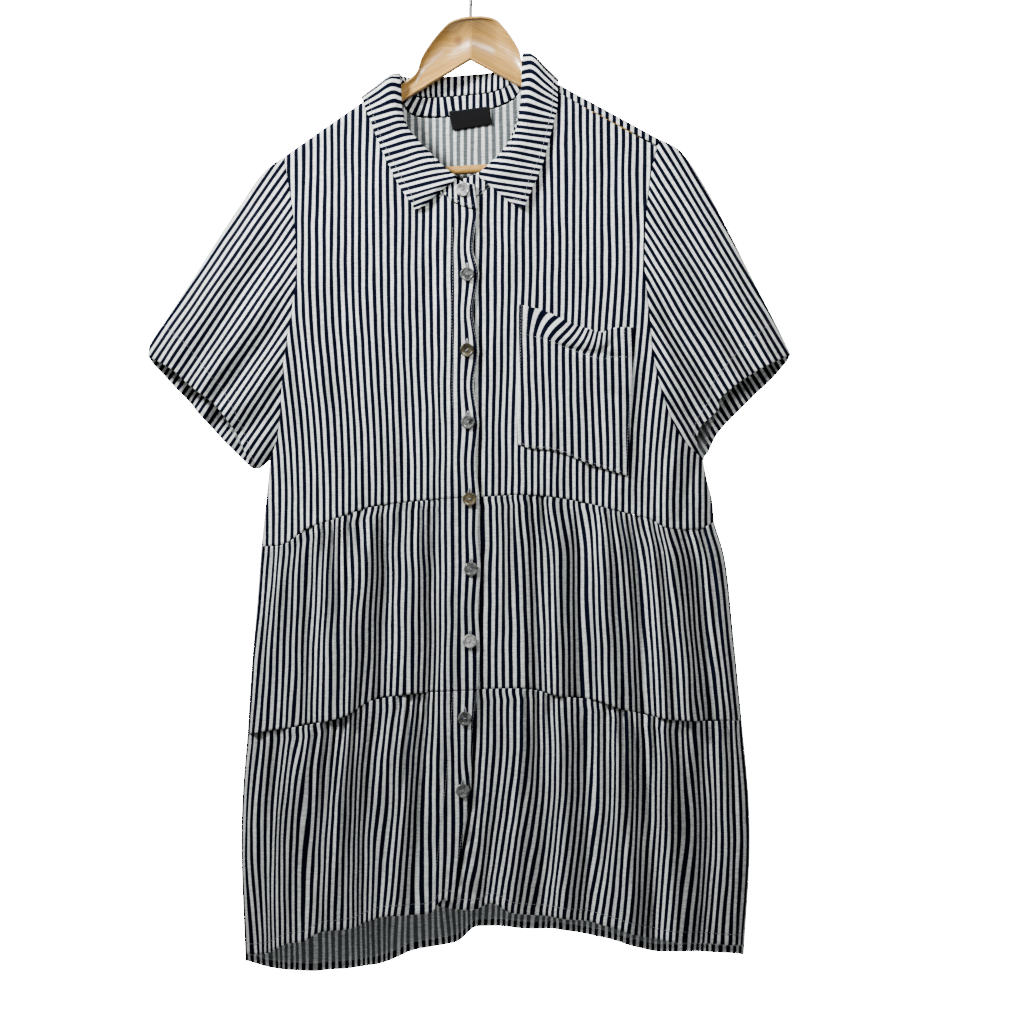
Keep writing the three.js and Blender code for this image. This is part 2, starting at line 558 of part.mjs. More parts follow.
// Round the neck, nothing comes nearer to the middle than the hanger's sides.
const neckDepth = (side, x, drop) => Math.max(depth(side < 0 ? "front" : "back", x, drop), RIDGE_HALF);
const FALL = table("side sx sd sl rx rd rl ex ed el", [
  [-1, -45, 193, 4.6, -49, 194.5, 5.4, -56, 197, 4.4],
  [-1, -36, 184, 5.0, -44, 187, 6.4, -58, 192, 4.4],
  [-1, -25, 175, 6.4, -38, 179, 8.0, -62, 186, 3.6],
  [-1, -14, 165, 7.6, -30, 169, 9.0, -68, 178, 3.0],
  [-1, -24, 155, 4.5, -38, 157, 7.5, -75, 166, 2.8],
  [-1, -38, 141, 2.8, -50, 143, 6.5, -81, 153, 2.8],
  [-1, -52, 126, 2.6, -62, 128, 6.0, -89, 136, 2.8],
  [-1, -64, 112, 2.6, -72, 113, 6.0, -95, 121, 2.8],
  [-1, -68, 98, 2.6, -76, 98, 6.0, -101, 105, 2.8],
  [-1, -69, 82, 2.6, -78, 80, 6.5, -106, 93, 3.0],
  [-1, -70, 65, 3.0, -81, 65, 5.5, -109, 84, 2.4],
  [0, -72, 57, 0, -81, 59, 0, -110, 81, 0],
  [1, -68, 61, 0.8, -78, 58, 5.0, -109, 84, 2.6],
  [1, -64, 71, -0.6, -68, 59, 6.5, -98, 98, 4.2],
  [1, -50, 80, -0.6, -53, 61, 6.5, -68, 108, 5.6],
  [1, -25, 79.5, -0.4, -25, 59, 7, -30, 110, 6.2],
  [1, 0, 77.5, -0.4, 0, 57, 7, 0, 109, 6.2],
  [1, 20, 75, -0.4, 21, 55, 7, 28, 106, 6.2],
  [1, 40, 67.5, -0.4, 40, 51, 6.5, 58, 98, 5.6],
  [1, 50, 53, 0.4, 55, 43, 6, 80, 82, 4.6],
  [1, 52.5, 41, 0.8, 60, 38, 4, 88, 67, 2.6],
  [0, 53, 36.5, 0, 62, 38, 0, 89, 63, 0],
  [-1, 52.5, 41, 3.0, 63, 42, 5.5, 88.5, 67, 2.4],
  [-1, 51.5, 60, 2.6, 62, 59, 6.5, 88, 79, 3.0],
  [-1, 51.5, 73, 2.6, 60, 73, 6.0, 88, 88, 2.8],
  [-1, 51, 86, 2.6, 59, 86, 6.0, 87, 97, 2.8],
  [-1, 48, 103, 2.6, 56, 104, 6.0, 84, 108, 2.8],
  [-1, 44, 120, 2.6, 53, 121, 6.0, 80, 124, 2.8],
  [-1, 32, 137, 2.8, 44, 138, 6.5, 75, 144, 2.8],
  [-1, 20, 150, 4.5, 34, 152, 7.5, 70, 158, 2.8],
  [-1, 9, 162, 7.6, 26, 165, 9.0, 65, 170, 3.0],
  [-1, 20, 173, 6.4, 32, 175, 8.0, 61, 179, 3.6],
  [-1, 33, 184, 5.0, 41, 185, 6.4, 57, 188, 4.4],
  [-1, 45, 193, 4.6, 48, 194, 5.4, 54, 195, 4.4],
]).map((row, k) => ({ ...row, k }));
const FALL_ACROSS = [0, 0.12, 0.28, 0.5, 0.75, 1];
const FALL_ROLL = 0.25;
const FALL_MID = 0.6;
const FALL_MID_SHARE = 0.42;
function fallPoint(k, t) {
  const get = (name) => read(FALL, "k", name, k);
  const spots = [["sx", "sd", "sl"], ["rx", "rd", "rl"], ["ex", "ed", "el"]].map(([x, d, l]) => {
    const rows = [Math.floor(k), Math.ceil(k)].map((i) => {
      const row = FALL[i];
      return row.side * (neckDepth(row.side, row[x], row[d]) + row[l]);
    });
    return { x: get(x), drop: get(d), y: mix(rows[0], rows[1], k - Math.floor(k)) };
  });
  const [s, r, e] = spots;
  const m = { x: mix(r.x, e.x, 0.5), drop: mix(r.drop, e.drop, 0.5), y: mix(r.y, e.y, FALL_MID_SHARE) };
  const across = [{ t: 0, ...s }, { t: FALL_ROLL, ...r }, { t: FALL_MID, ...m }, { t: 1, ...e }];
  return place3(read(across, "t", "x", t), read(across, "t", "y", t), read(across, "t", "drop", t));
}
add("collar_fall", wall(FALL.map((row) => row.k), FALL_ACROSS, fallPoint, {
  turn: 1,
  thick: () => COLLAR_WALL,
}), cloth());

// Neckband: n is its seam on the neckline, s its seam under the collar
const STAND = table("side nx nd nl sx sd sl", [
  [-1, 8, 198, 4.3, 4, 171, 4.3],
  [-1, -8, 194, 4.3, -9, 168, 4.3],
  [-1, -20, 187, 4.2, -20, 161, 4.2],
  [-1, -29, 180, 2.6, -28, 153, 2.4],
  [-1, -38, 173, 0.8, -35, 146, 0.4],
  [-1, -49, 161, 0, -44, 137, 0],
  [-1, -58, 148, 0, -51, 128, 0],
  [-1, -66, 134, 0, -58, 120, 0],
  [-1, -71, 118, 0, -63, 111, 0],
  [-1, -76, 90, 0, -68, 93, 0],
  [-1, -77, 76, 0, -69, 78, 0],
  [-1, -77, 69, -1.4, -70, 64, 0],
  [0, -77, 66, 0, -71, 60, 0],
  [1, -76.5, 68, -1.4, -70, 62, 0],
  [1, -72, 82, 0, -65, 72, 0],
  [1, -66, 91, 0, -58, 78, 0],
  [1, -59, 99, 0, -50, 81, 0],
  [1, -41, 101, 0, -38, 81, 0],
  [1, -22, 101, 0, -25, 80.5, 0],
  [1, 0, 97, 0, 0, 78.5, 0],
  [1, 21, 93, 0, 20, 76, 0],
  [1, 33, 88, 0, 30, 73, 0],
  [1, 45, 82, 0, 39, 69, 0],
  [1, 52, 72, 0, 46, 63, 0],
  [1, 55, 62, 0, 50, 56.5, 0],
  [1, 55.4, 48, -1.6, 52.5, 43, 0],
  [0, 55.6, 43, 0, 53, 38.5, 0],
  [-1, 55.4, 48, -1.6, 52.5, 43, 0],
  [-1, 57, 64, 0, 51.5, 60, 0],
  [-1, 56, 85, 0, 50, 86, 0],
  [-1, 52, 112, 0, 46, 106, 0],
  [-1, 48, 127, 0, 42, 118, 0],
  [-1, 43, 140, 0, 37, 129, 0],
  [-1, 37, 152, 0, 31, 137, 0],
  [-1, 29, 162, 0, 25, 143, 0],
  [-1, 9, 182, 0, 9, 158, 0],
  [-1, -16, 192, 0, -14, 168, 0],
]).map((row, k) => ({ ...row, k }));
const STAND_WALL = 1.4;
// The neckband's seam is moved onto the panels' own neckline.
const between = (values, from, to) =>
  values.filter((v) => v >= from && v <= to).map((v) => (v - from) / (to - from));
const NECKLINES = [
  pieced(neckRight, between(BODICE_ROWS, 0, NECK_SHARE)),
  pieced(neckBack, between(BACK_COLUMNS, NECK_FROM, NECK_TO)),
  pieced(neckLeft, between(BODICE_ROWS, 0, NECK_SHARE)),
];
const SNAP_REACH = 6;
function onNeckline(x, drop) {
  let best = [x, drop];
  let least = SNAP_REACH;
  for (const neck of NECKLINES) {
    for (const t of steps(120)) {
      const [nx, nd] = neck(t);
      const away = Math.hypot(nx - x, nd - drop);
      if (away < least && nd > read(RIDGE, "x", "drop", nx) + RIDGE_ROUND) {
        least = away;
        best = [nx, nd];
      }
    }
  }
  return best;
}
const SEAM_SLACK = 1.6;
const FALL_SLACK = 0.5;
function standPoint(k, t) {
  const row = STAND[k];
  const crossing = row.nl < 0 || row.side === 0;
  const [nx, nd] = crossing ? [row.nx, row.nd] : onNeckline(row.nx, row.nd);
  const at = (x, drop, lift) => place3(x, row.side * (neckDepth(row.side, x, drop) + lift), drop);
  const low = at(nx, nd, row.nl);
  const high = at(row.sx, row.sd, row.sl);
  const length = low.distanceTo(high);
  return low.clone().lerp(high, mix(SEAM_SLACK / length, 1 - FALL_SLACK / length, t));
}
add("collar_stand", wall(STAND.map((row) => row.k), [0, 0.5, 1], standPoint, {
  turn: -1,
  thick: () => STAND_WALL,
}), cloth());

// Chest pocket: made from the bodice front's points, moved out
const pocketPatch = patch(
  line([[49, 292], [75, 299], [105, 312], [132, 320], [142, 316], [163, 315]]),
  line([[47, 432], [59, 436], [86, 439], [112, 449], [135, 457], [158, 464]]),
  line([[49, 292], [47, 432]]), line([[163, 315], [162, 388], [158, 464]]));
const POCKET_HEM = 0.19;
const POCKET_PUFF = 3;
const POCKET_SLACK = 0.5;
const pocketPuff = (u, v) => POCKET_PUFF * (1 - ease(v, 0, 0.7)) * Math.sin(Math.PI * u) ** 2;
const pocketLift = (u, v) => GAP + WALL + POCKET_SLACK + pocketPuff(u, v);
add("chest_pocket", wall(steps(10), [0, POCKET_HEM, POCKET_HEM + 0.015, 0.35, 0.55, 0.78, 1], (u, v) => {
  const [x, drop] = pocketPatch(u, v);
  const hem = v <= POCKET_HEM ? HEM_WALL - WALL : 0;
  return place3(x, -depth("front", x, drop) - pocketLift(u, v) - hem, drop);
}, { turn: -1, thick: (u, v) => (v <= POCKET_HEM ? HEM_WALL : WALL) }), cloth());

// Neck label, over the neckband's seam inside the back
const LABEL_WALL = 0.8;
const LABEL_SLACK = 0.1;
const labelPatch = patch(line([[-22, 95], [19, 90]]), line([[-18, 114.5], [22, 108]]),
  line([[-22, 95], [-18, 114.5]]), line([[19, 90], [22, 108]]));
add("neck_label", wall(steps(4), steps(3), (u, v) => {
  const [x, drop] = labelPatch(u, v);
  return place3(x, depth("back", x, drop) - STAND_WALL - GAP - LABEL_WALL - LABEL_SLACK, drop);
}, { turn: -1, thick: () => LABEL_WALL }), blackCloth());

// Buttons: a flat disc with a raised rim round a sunk middle
const BUTTONS = table("x drop", [
  [-7.5, 177], [-3, 262], [-3, 338], [-2, 410], [-0.5, 487], [1, 557], [0, 629], [-5, 706], [-7, 778],
]);
const BUTTON_SIDES = 12;
const BUTTON_SLACK = 0.35;
const STAND_LIFT = 4.3;
BUTTONS.forEach((row, k) => {
  const profile = [[0, 0], [BUTTON_RADIUS * 0.8, 0], [BUTTON_RADIUS, 0.9], [BUTTON_RADIUS * 0.92, BUTTON_THICK],
    [BUTTON_RADIUS * 0.62, BUTTON_THICK - 0.5], [0, BUTTON_THICK - 0.8]];
  const disc = new THREE.LatheGeometry(profile.map(([r, h]) => new THREE.Vector2(r, h)), BUTTON_SIDES);
  const mesh = add(`button_${k + 1}`, disc, shell());
  const lift = k === 0 ? STAND_LIFT : BAND_LIFT;
  const reach = (drop) => depth("front", row.x, drop) + lift;
  const rise = reach(row.drop + BUTTON_RADIUS) - reach(row.drop - BUTTON_RADIUS);
  mesh.rotation.x = Math.PI - Math.atan2(rise, 2 * BUTTON_RADIUS);
  mesh.position.copy(place3(row.x, -reach(row.drop) - GAP - BUTTON_SLACK, row.drop));
});

// Hanger: the outline of one half, from its middle out; it hangs tilted, as shown
const APEX = 44;
const ARM = table("out top under", [
  [0, -44, 0], [12, -43.2, 7], [24, -39, 14], [33, -30, 19], [40, -21, 23], [46, -12, 27], [50, -4, 29],
  [53, 8, 30.5], [64, 18, 37], [75, 26, 43.5], [90, 37.5, 53], [104, 47, 62], [150, 71, 90],
  [172, 86, 105], [188, 97, 123], [196, 103, 123], [199, 109, 117],
]);
const ARM_BEVEL = 2.5;
const SOCKET_FROM = 178;
const BAR_DROP = 111;
const hanger = new THREE.Group();
garment.add(hanger);
const tilted = (out, down) => [out - down * TILT, APEX + down - out * TILT];
function armOutline() {
  const right = ARM.map((row) => tilted(row.out, row.top));
  const left = ARM.slice(1).map((row) => tilted(-row.out, row.top)).reverse();
  const leftUnder = ARM.slice(1).map((row) => tilted(-row.out, row.under));
  const rightUnder = ARM.map((row) => tilted(row.out, row.under)).reverse();
  return [...left, ...right, ...rightUnder, ...leftUnder];
}
const wasm = await Module();
wasm.setup();
function solid(geometry) {
  const plain = geometry.clone();
  plain.deleteAttribute("normal");
  if (plain.attributes.uv) plain.deleteAttribute("uv");
  const merged = mergeVertices(plain, 1e-4);
  return new wasm.Manifold(new wasm.Mesh({
    numProp: 3,
    vertProperties: new Float32Array(merged.attributes.position.array),
    triVerts: new Uint32Array(merged.index.array),
  }));
}
function fromSolid(body) {
  const mesh = body.getMesh();
  const geometry = new THREE.BufferGeometry();
  geometry.setAttribute("position", new THREE.BufferAttribute(new Float32Array(mesh.vertProperties), 3));
  geometry.setIndex(new THREE.BufferAttribute(new Uint32Array(mesh.triVerts), 1));
  geometry.computeVertexNormals();
  return geometry;
}
const outline = new THREE.Shape(armOutline().map(([x, drop]) => new THREE.Vector2(x, -HOOK_RISE - drop)));
const arch = new THREE.ExtrudeGeometry(outline, {
  depth: 2 * (ARM_HALF - ARM_BEVEL), bevelEnabled: true, bevelThickness: ARM_BEVEL, bevelSize: ARM_BEVEL,
  bevelOffset: -ARM_BEVEL, bevelSegments: 1,
});
arch.rotateX(Math.PI / 2);
arch.translate(0, ARM_HALF - ARM_BEVEL, 0);
const [barX, barDrop] = tilted(0, BAR_DROP);
const barTurn = Math.atan(TILT);
function barShape(radius, half) {
  const bar = new THREE.CylinderGeometry(radius, radius, 2 * half, 16);
  bar.rotateZ(Math.PI / 2);
  bar.applyMatrix4(new THREE.Matrix4().makeRotationY(-barTurn));
  bar.translate(barX, 0, -HOOK_RISE - barDrop);
  return bar;
}
const STEM = table("x z", [[0, -HOOK_RISE - 12], [0, -HOOK_RISE + 8], [0, -58], [-5, -46]]);
const HOOK_FROM = 205;
const HOOK_TO = -50;
const HOOK_STEP = 15;
function wire(radius) {
  const centre = HOOK_RADIUS + WIRE_RADIUS;
  const points = STEM.map((row) => new THREE.Vector3(row.x, 0, row.z));
  for (let angle = HOOK_FROM; angle >= HOOK_TO; angle -= HOOK_STEP) {
    const a = THREE.MathUtils.degToRad(angle);
    points.push(new THREE.Vector3(centre * Math.cos(a), 0, -HOOK_RADIUS + centre * Math.sin(a)));
  }
  const route = new THREE.CatmullRomCurve3(points);
  const round = new THREE.Shape();
  round.absarc(0, 0, radius, 0, 2 * Math.PI);
  return new THREE.ExtrudeGeometry(round, { steps: 30, curveSegments: 4, bevelEnabled: false, extrudePath: route });
}
const stemHole = new THREE.CylinderGeometry(WIRE_RADIUS + GAP, WIRE_RADIUS + GAP, 26, 12);
stemHole.rotateX(Math.PI / 2);
stemHole.translate(0, 0, -HOOK_RISE);
add("hanger_arch", fromSolid(solid(arch).subtract(solid(barShape(BAR_RADIUS + GAP, SOCKET_FROM + GAP)))
  .subtract(solid(stemHole))), wood(), hanger);
add("hanger_bar", barShape(BAR_RADIUS, SOCKET_FROM), wood(), hanger);
add("hanger_hook", wire(WIRE_RADIUS), steel(), hanger);

export default garment;
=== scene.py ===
# Striped shirt dress with gathered tiers on a wooden hanger: the dressed model over its CAD frame.
# Lengths in the tables are millimetres; "drop" is the distance below the top of the hanger's wood.
import math

import bpy
import numpy as np
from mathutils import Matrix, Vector


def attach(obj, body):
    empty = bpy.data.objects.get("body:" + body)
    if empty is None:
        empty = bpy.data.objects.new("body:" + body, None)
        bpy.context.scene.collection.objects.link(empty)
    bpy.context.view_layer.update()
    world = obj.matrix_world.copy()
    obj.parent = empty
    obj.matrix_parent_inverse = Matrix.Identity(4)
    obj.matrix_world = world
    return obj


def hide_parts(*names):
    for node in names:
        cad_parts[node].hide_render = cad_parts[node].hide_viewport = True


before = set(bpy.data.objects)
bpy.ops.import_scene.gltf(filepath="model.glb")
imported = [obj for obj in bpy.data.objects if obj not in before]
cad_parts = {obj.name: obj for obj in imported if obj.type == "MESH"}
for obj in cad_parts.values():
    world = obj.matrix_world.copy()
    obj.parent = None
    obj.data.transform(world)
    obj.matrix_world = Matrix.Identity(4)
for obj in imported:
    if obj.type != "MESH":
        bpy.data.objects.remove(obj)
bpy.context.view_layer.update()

MM = 0.001
HOOK_RISE = 78.0
WALL = 0.9
GAP = 0.3
BAND_WIDTH = 27.0
BAND_LIFT = 2.8
RIDGE_HALF = 7.5
RIDGE_ROUND = 6.0
FORWARD_SEAM = 9.0
FRONT_SEAM = 9.9
TILT = 0.059
STRIPE = 7.15
NAVY_HALF = 0.285


def hermite(xs, ys, at):
    """A smooth reading of ys against xs, held flat past both ends."""
    xs, ys = np.asarray(xs, float), np.asarray(ys, float)
    t = np.clip(at, xs[0], xs[-1])
    k = np.clip(np.searchsorted(xs, t, side="left") - 1, 0, len(xs) - 2)
    a = np.maximum(np.arange(len(xs)) - 1, 0)
    b = np.minimum(np.arange(len(xs)) + 1, len(xs) - 1)
    slope = (ys[b] - ys[a]) / (xs[b] - xs[a])
    span = xs[k + 1] - xs[k]
    s = (t - xs[k]) / span
    return ((1 + 2 * s) * (1 - s) ** 2 * ys[k] + s * (1 - s) ** 2 * span * slope[k]
            + s * s * (3 - 2 * s) * ys[k + 1] + s * s * (s - 1) * span * slope[k + 1])


def ease(x, low, high):
    t = np.clip((x - low) / (high - low), 0, 1)
    return t * t * (3 - 2 * t)


def mix(a, b, t):
    return a + (b - a) * t


def line(points):
    """A smooth line through [x, drop] points, read by its share of the length."""
    p = np.array(points, float)
    at = np.r_[0, np.cumsum(np.hypot(*np.diff(p, axis=0).T))]
    at /= at[-1]
    return lambda t: np.stack([hermite(at, p[:, 0], t), hermite(at, p[:, 1], t)], -1)


def chain(*parts):
    """Lines end to end, each with the share at which it ends."""
    def read(t):
        t = np.asarray(t, float)
        out = np.zeros(t.shape + (2,))
        start = 0.0
        done = np.zeros(t.shape, bool)
        for to, part in parts:
            here = ~done & (t <= to + 1e-12)
            if here.any():
                out[here] = part((t[here] - start) / (to - start))
            done |= here
            start = to
        return out
    return read


def patch(top, bottom, left, right):
    c = [top(np.array(0.0)), top(np.array(1.0)), bottom(np.array(0.0)), bottom(np.array(1.0))]

    def read(u, v):
        a, b = u[..., None], v[..., None]
        return ((1 - b) * top(u) + b * bottom(u) + (1 - a) * left(v) + a * right(v)
                - (1 - a) * (1 - b) * c[0] - a * (1 - b) * c[1] - (1 - a) * b * c[2] - a * b * c[3])
    return read


def noise(x, y, seed):
    """Smooth value noise from -1 to 1, one cell a unit."""
    grid = np.random.RandomState(seed).uniform(-1, 1, (64, 64))
    i, j = np.floor(x).astype(int), np.floor(y).astype(int)
    s, t = x - i, y - j
    s, t = s * s * (3 - 2 * s), t * t * (3 - 2 * t)
    g = lambda a, b: grid[a % 64, b % 64]
    return mix(mix(g(i, j), g(i + 1, j), s), mix(g(i, j + 1), g(i + 1, j + 1), s), t)


RIDGE = np.array([[-190, 143], [-108, 86], [-77, 67], [58, 44], [75, 57], [92, 70], [192, 124], [215, 137]], float)
SECTIONS = np.array([
    [60, 13, 11, -206, 234], [200, 21, 16, -206, 234], [300, 26, 20, -205, 234], [400, 29, 22, -203, 234],
    [448, 30, 23, -202, 235], [488, 30, 24, -206, 244], [528, 31, 25, -211, 253], [588, 32, 26, -215, 262],
    [668, 34, 28, -222, 270], [724, 35, 29, -226, 276], [788, 36, 30, -230, 281], [848, 37, 31, -231, 282],
    [948, 38, 31, -227, 276]], float)


def ridge(x):
    return hermite(RIDGE[:, 0], RIDGE[:, 1], x)


def depth(side, x, drop):
    """How far the front or the back stands out at a place, without its folds."""
    below = np.maximum(drop - ridge(x), 0)
    full = hermite(SECTIONS[:, 0], SECTIONS[:, 1 if side == "front" else 2], drop)
    out = RIDGE_HALF + (full - RIDGE_HALF) * ease(below, 0, 160)
    over = 1 - np.clip(below / RIDGE_ROUND, 0, 1)
    out = out * np.sqrt(1 - over * over)
    let_in = SIDE_LET_IN * ease(drop, UNDERARM, UNDERARM + 12)
    left = np.where(drop > UNDERARM, hermite(*SIDES["right"], drop) + let_in,
                    hermite(SECTIONS[:, 0], SECTIONS[:, 3], drop))
    right = np.where(drop > UNDERARM, hermite(*SIDES["left"], drop) - let_in,
                     hermite(SECTIONS[:, 0], SECTIONS[:, 4], drop))
    s = np.clip(np.abs(x - (left + right) / 2) / ((right - left) / 2), 0, 1)
    closing = ease(drop, 330, 446)
    return out * (1 - closing + closing * np.sqrt(1 - s ** 4))


def place3(x, y, drop):
    x, y, drop = np.broadcast_arrays(x, y, drop)
    return np.stack([x, y, -HOOK_RISE - drop], -1)


# Seams and edges
armhole_right = line([[-187, 141], [-184, 165], [-179, 190], [-175, 232], [-174, 256], [-179, 302], [-186, 345],
                      [-190, 390], [-194, 425], [-202, 448]])
side_right = line([[-202, 448], [-206, 488], [-211, 535]])
armhole_left = line([[192, 124], [186, 140], [181, 165], [176, 210], [175, 258], [180, 305], [184, 345],
                     [194, 384], [210, 422], [235, 448]])
side_left = line([[235, 448], [239, 468], [244, 488], [246, 510]])
shoulder_right = line([[-187, 141], [-108, 86], [-77, 67]])


def shoulder_left(lift, inset=0.0):
    def read(t):
        x = mix(192 - inset, 58, np.asarray(t, float))
        return np.stack([x, ridge(x) + lift], -1)
    return read


neck_right = line([[-77, 67], [-76, 90], [-71, 118], [-58, 148], [-38, 173], [-15, 191], [8, 199]])
neck_left = line([[58, 44 + FRONT_SEAM], [57, 85], [53, 112], [44, 140], [30, 162], [10, 182], [-17, 193]])
neck_back = line([[-77, 67], [-76.5, 73], [-72, 82], [-59, 99], [-22, 101], [21, 93], [45, 82], [55, 62],
                  [57, 50], [58, 44 - FORWARD_SEAM]])
over_edge = line([[8, 199], [3, 236], [9, 262], [3, 300], [9, 338], [4, 373], [9, 410], [6, 448], [9.5, 485]])
waist_right = line([[-211, 535], [-186, 532], [-164, 517], [-141, 509], [-118, 501], [-98, 495], [-60, 490],
                    [-10, 486], [9.5, 485]])
waist_left = line([[246, 510], [230, 517], [197, 516], [182, 508], [144, 498], [106, 489], [58, 483],
                   [10, 485], [-17, 486]])
waist_back = line([[-211, 535], [-140, 512], [0, 500], [150, 502], [246, 510]])
mid_right = line([[-225, 724], [-206, 720], [-168, 714], [-125, 704], [-102, 690], [-68, 683], [-39, 680], [8, 678]])
mid_left = line([[274, 710], [220, 709], [197, 707], [152, 697], [125, 688], [90, 684], [58, 677], [10, 677],
                 [-17, 678]])
mid_back = line([[-225, 724], [-120, 700], [0, 690], [150, 698], [274, 710]])
hem_right = line([[-227, 945], [-208, 944], [-185, 932], [-168, 930], [-150, 920], [-118, 916], [-87, 904],
                  [-40, 900], [-28, 887], [-17, 890]])
hem_left = line([[276, 936], [230, 932], [182, 926], [152, 918], [113, 908], [58, 902], [40, 899], [22, 891],
                 [5, 897], [-10, 897], [-40, 892]])
hem_back = line([[-227, 953], [-198, 964], [-135, 965], [-97, 961], [-59, 946], [-15, 938], [8, 921], [60, 925],
                 [86, 924], [120, 930], [182, 945], [276, 947]])
upper_right = line([[-211, 535], [-215, 588], [-221, 660], [-225, 724]])
upper_left = line([[246, 510], [257, 548], [265, 620], [274, 710]])
lower_right = line([[-225, 724], [-230, 788], [-231, 848], [-227, 945]])
lower_left = line([[274, 710], [281, 788], [282, 848], [276, 936]])
lower_right_back = line([[-225, 724], [-230, 788], [-231, 848], [-227, 953]])
lower_left_back = line([[274, 710], [281, 788], [282, 848], [276, 947]])
upper_over = line([[9.5, 485], [8, 523], [11, 557], [9, 593], [10, 629], [8, 678]])
upper_under = line([[-17, 486], [-17, 678]])
lower_over = line([[8, 678], [5, 706], [2, 743], [1, 778], [-5, 818], [-12, 860], [-17, 890]])
lower_under = line([[-17, 678], [-19, 740], [-26, 800], [-40, 892]])


UNDERARM, SIDE_LET_IN = 448.0, 0.15


def side_rows(*lines):
    """A side seam's x against its drop, where front and back close on each other."""
    t = np.linspace(0, 1, 25)
    rows = np.concatenate([one(t)[1 if n else 0:] for n, one in enumerate(lines)])
    return rows[:, 1], rows[:, 0]


SIDES = {"right": side_rows(side_right, upper_right, lower_right), "left": side_rows(side_left, upper_left, lower_left)}


def over_edge_at(drop):
    drop = np.asarray(drop, float)
    a = over_edge(np.clip((drop - 199) / 286, 0, 1))[..., 0]
    b = upper_over(np.clip((drop - 485) / 193, 0, 1))[..., 0]
    c = lower_over(np.clip((drop - 678) / 212, 0, 1))[..., 0]
    return np.where(drop < 485, a, np.where(drop < 678, b, c))


def band_lift(x, drop):
    edge = over_edge_at(drop)
    return BAND_LIFT * ease(x, edge - BAND_WIDTH - 20, edge - BAND_WIDTH - 4)


def creased(rows, x, drop):
    """Soft troughs and ridges along listed lines: x0, drop0, x1, drop1, height, half width."""
    out = np.zeros(np.shape(x))
    for x0, d0, x1, d1, height, wide in rows:
        dx, dd = x1 - x0, d1 - d0
        length = math.hypot(dx, dd)
        t = ((x - x0) * dx + (drop - d0) * dd) / length ** 2
        bow = 0.03 * length * np.sin(np.clip(t, 0, 1) * 3.1)
        across = ((x - x0) * dd - (drop - d0) * dx) / length + bow
        ends = ease(t, -0.12, 0.25) * (1 - ease(t, 0.7, 1.15))
        w = wide * (0.75 + 0.5 * np.clip(t, 0, 1))
        out = out + height * ends * np.exp(-(across / w) ** 2)
    return out


def crumple(x, drop, seed):
    """The slight unevenness of worn cotton."""
    return (0.75 * noise(x / 34, drop / 85, seed) + 0.32 * noise(x / 13, drop / 34, seed + 1)
            + 0.1 * noise(x / 4.5, drop / 11, seed + 2))


# Materials
def material(name):
    m = bpy.data.materials.new(name)
    m.use_nodes = True
    nodes, links = m.node_tree.nodes, m.node_tree.links
    nodes.clear()
    out = nodes.new("ShaderNodeOutputMaterial")
    shader = nodes.new("ShaderNodeBsdfPrincipled")
    links.new(shader.outputs[0], out.inputs[0])
    return m, nodes, links, shader


def maths(nodes, links, kind, a, b=None, clamp=False):
    n = nodes.new("ShaderNodeMath")
    n.operation = kind
    n.use_clamp = clamp
    for k, value in enumerate((a, b)):
        if value is None:
            continue
        if isinstance(value, (int, float)):
            n.inputs[k].default_value = value
        else:
            links.new(value, n.inputs[k])
    return n.outputs[0]


def ranged(nodes, links, value, low, high, to_low, to_high, smooth=False):
    n = nodes.new("ShaderNodeMapRange")
    n.interpolation_type = "SMOOTHSTEP" if smooth else "LINEAR"
    links.new(value, n.inputs["Value"])
    for key, x in (("From Min", low), ("From Max", high), ("To Min", to_low), ("To Max", to_high)):
        n.inputs[key].default_value = x
    return n.outputs["Result"]


def noised(nodes, links, vector, scale, detail=2.0, rough=0.5):
    n = nodes.new("ShaderNodeTexNoise")
    links.new(vector, n.inputs["Vector"])
    n.inputs["Scale"].default_value = scale
    n.inputs["Detail"].default_value = detail
    n.inputs["Roughness"].default_value = rough
    return n.outputs["Fac"]


def blended(nodes, links, fac, a, b):
    n = nodes.new("ShaderNodeMix")
    n.data_type = "RGBA"
    links.new(fac, n.inputs["Factor"])
    for key, value in (("A", a), ("B", b)):
        socket = [s for s in n.inputs if s.name == key and s.type == "RGBA"][0]
        if isinstance(value, tuple):
            socket.default_value = (*value, 1)
        else:
            links.new(value, socket)
    return [s for s in n.outputs if s.type == "RGBA"][0]


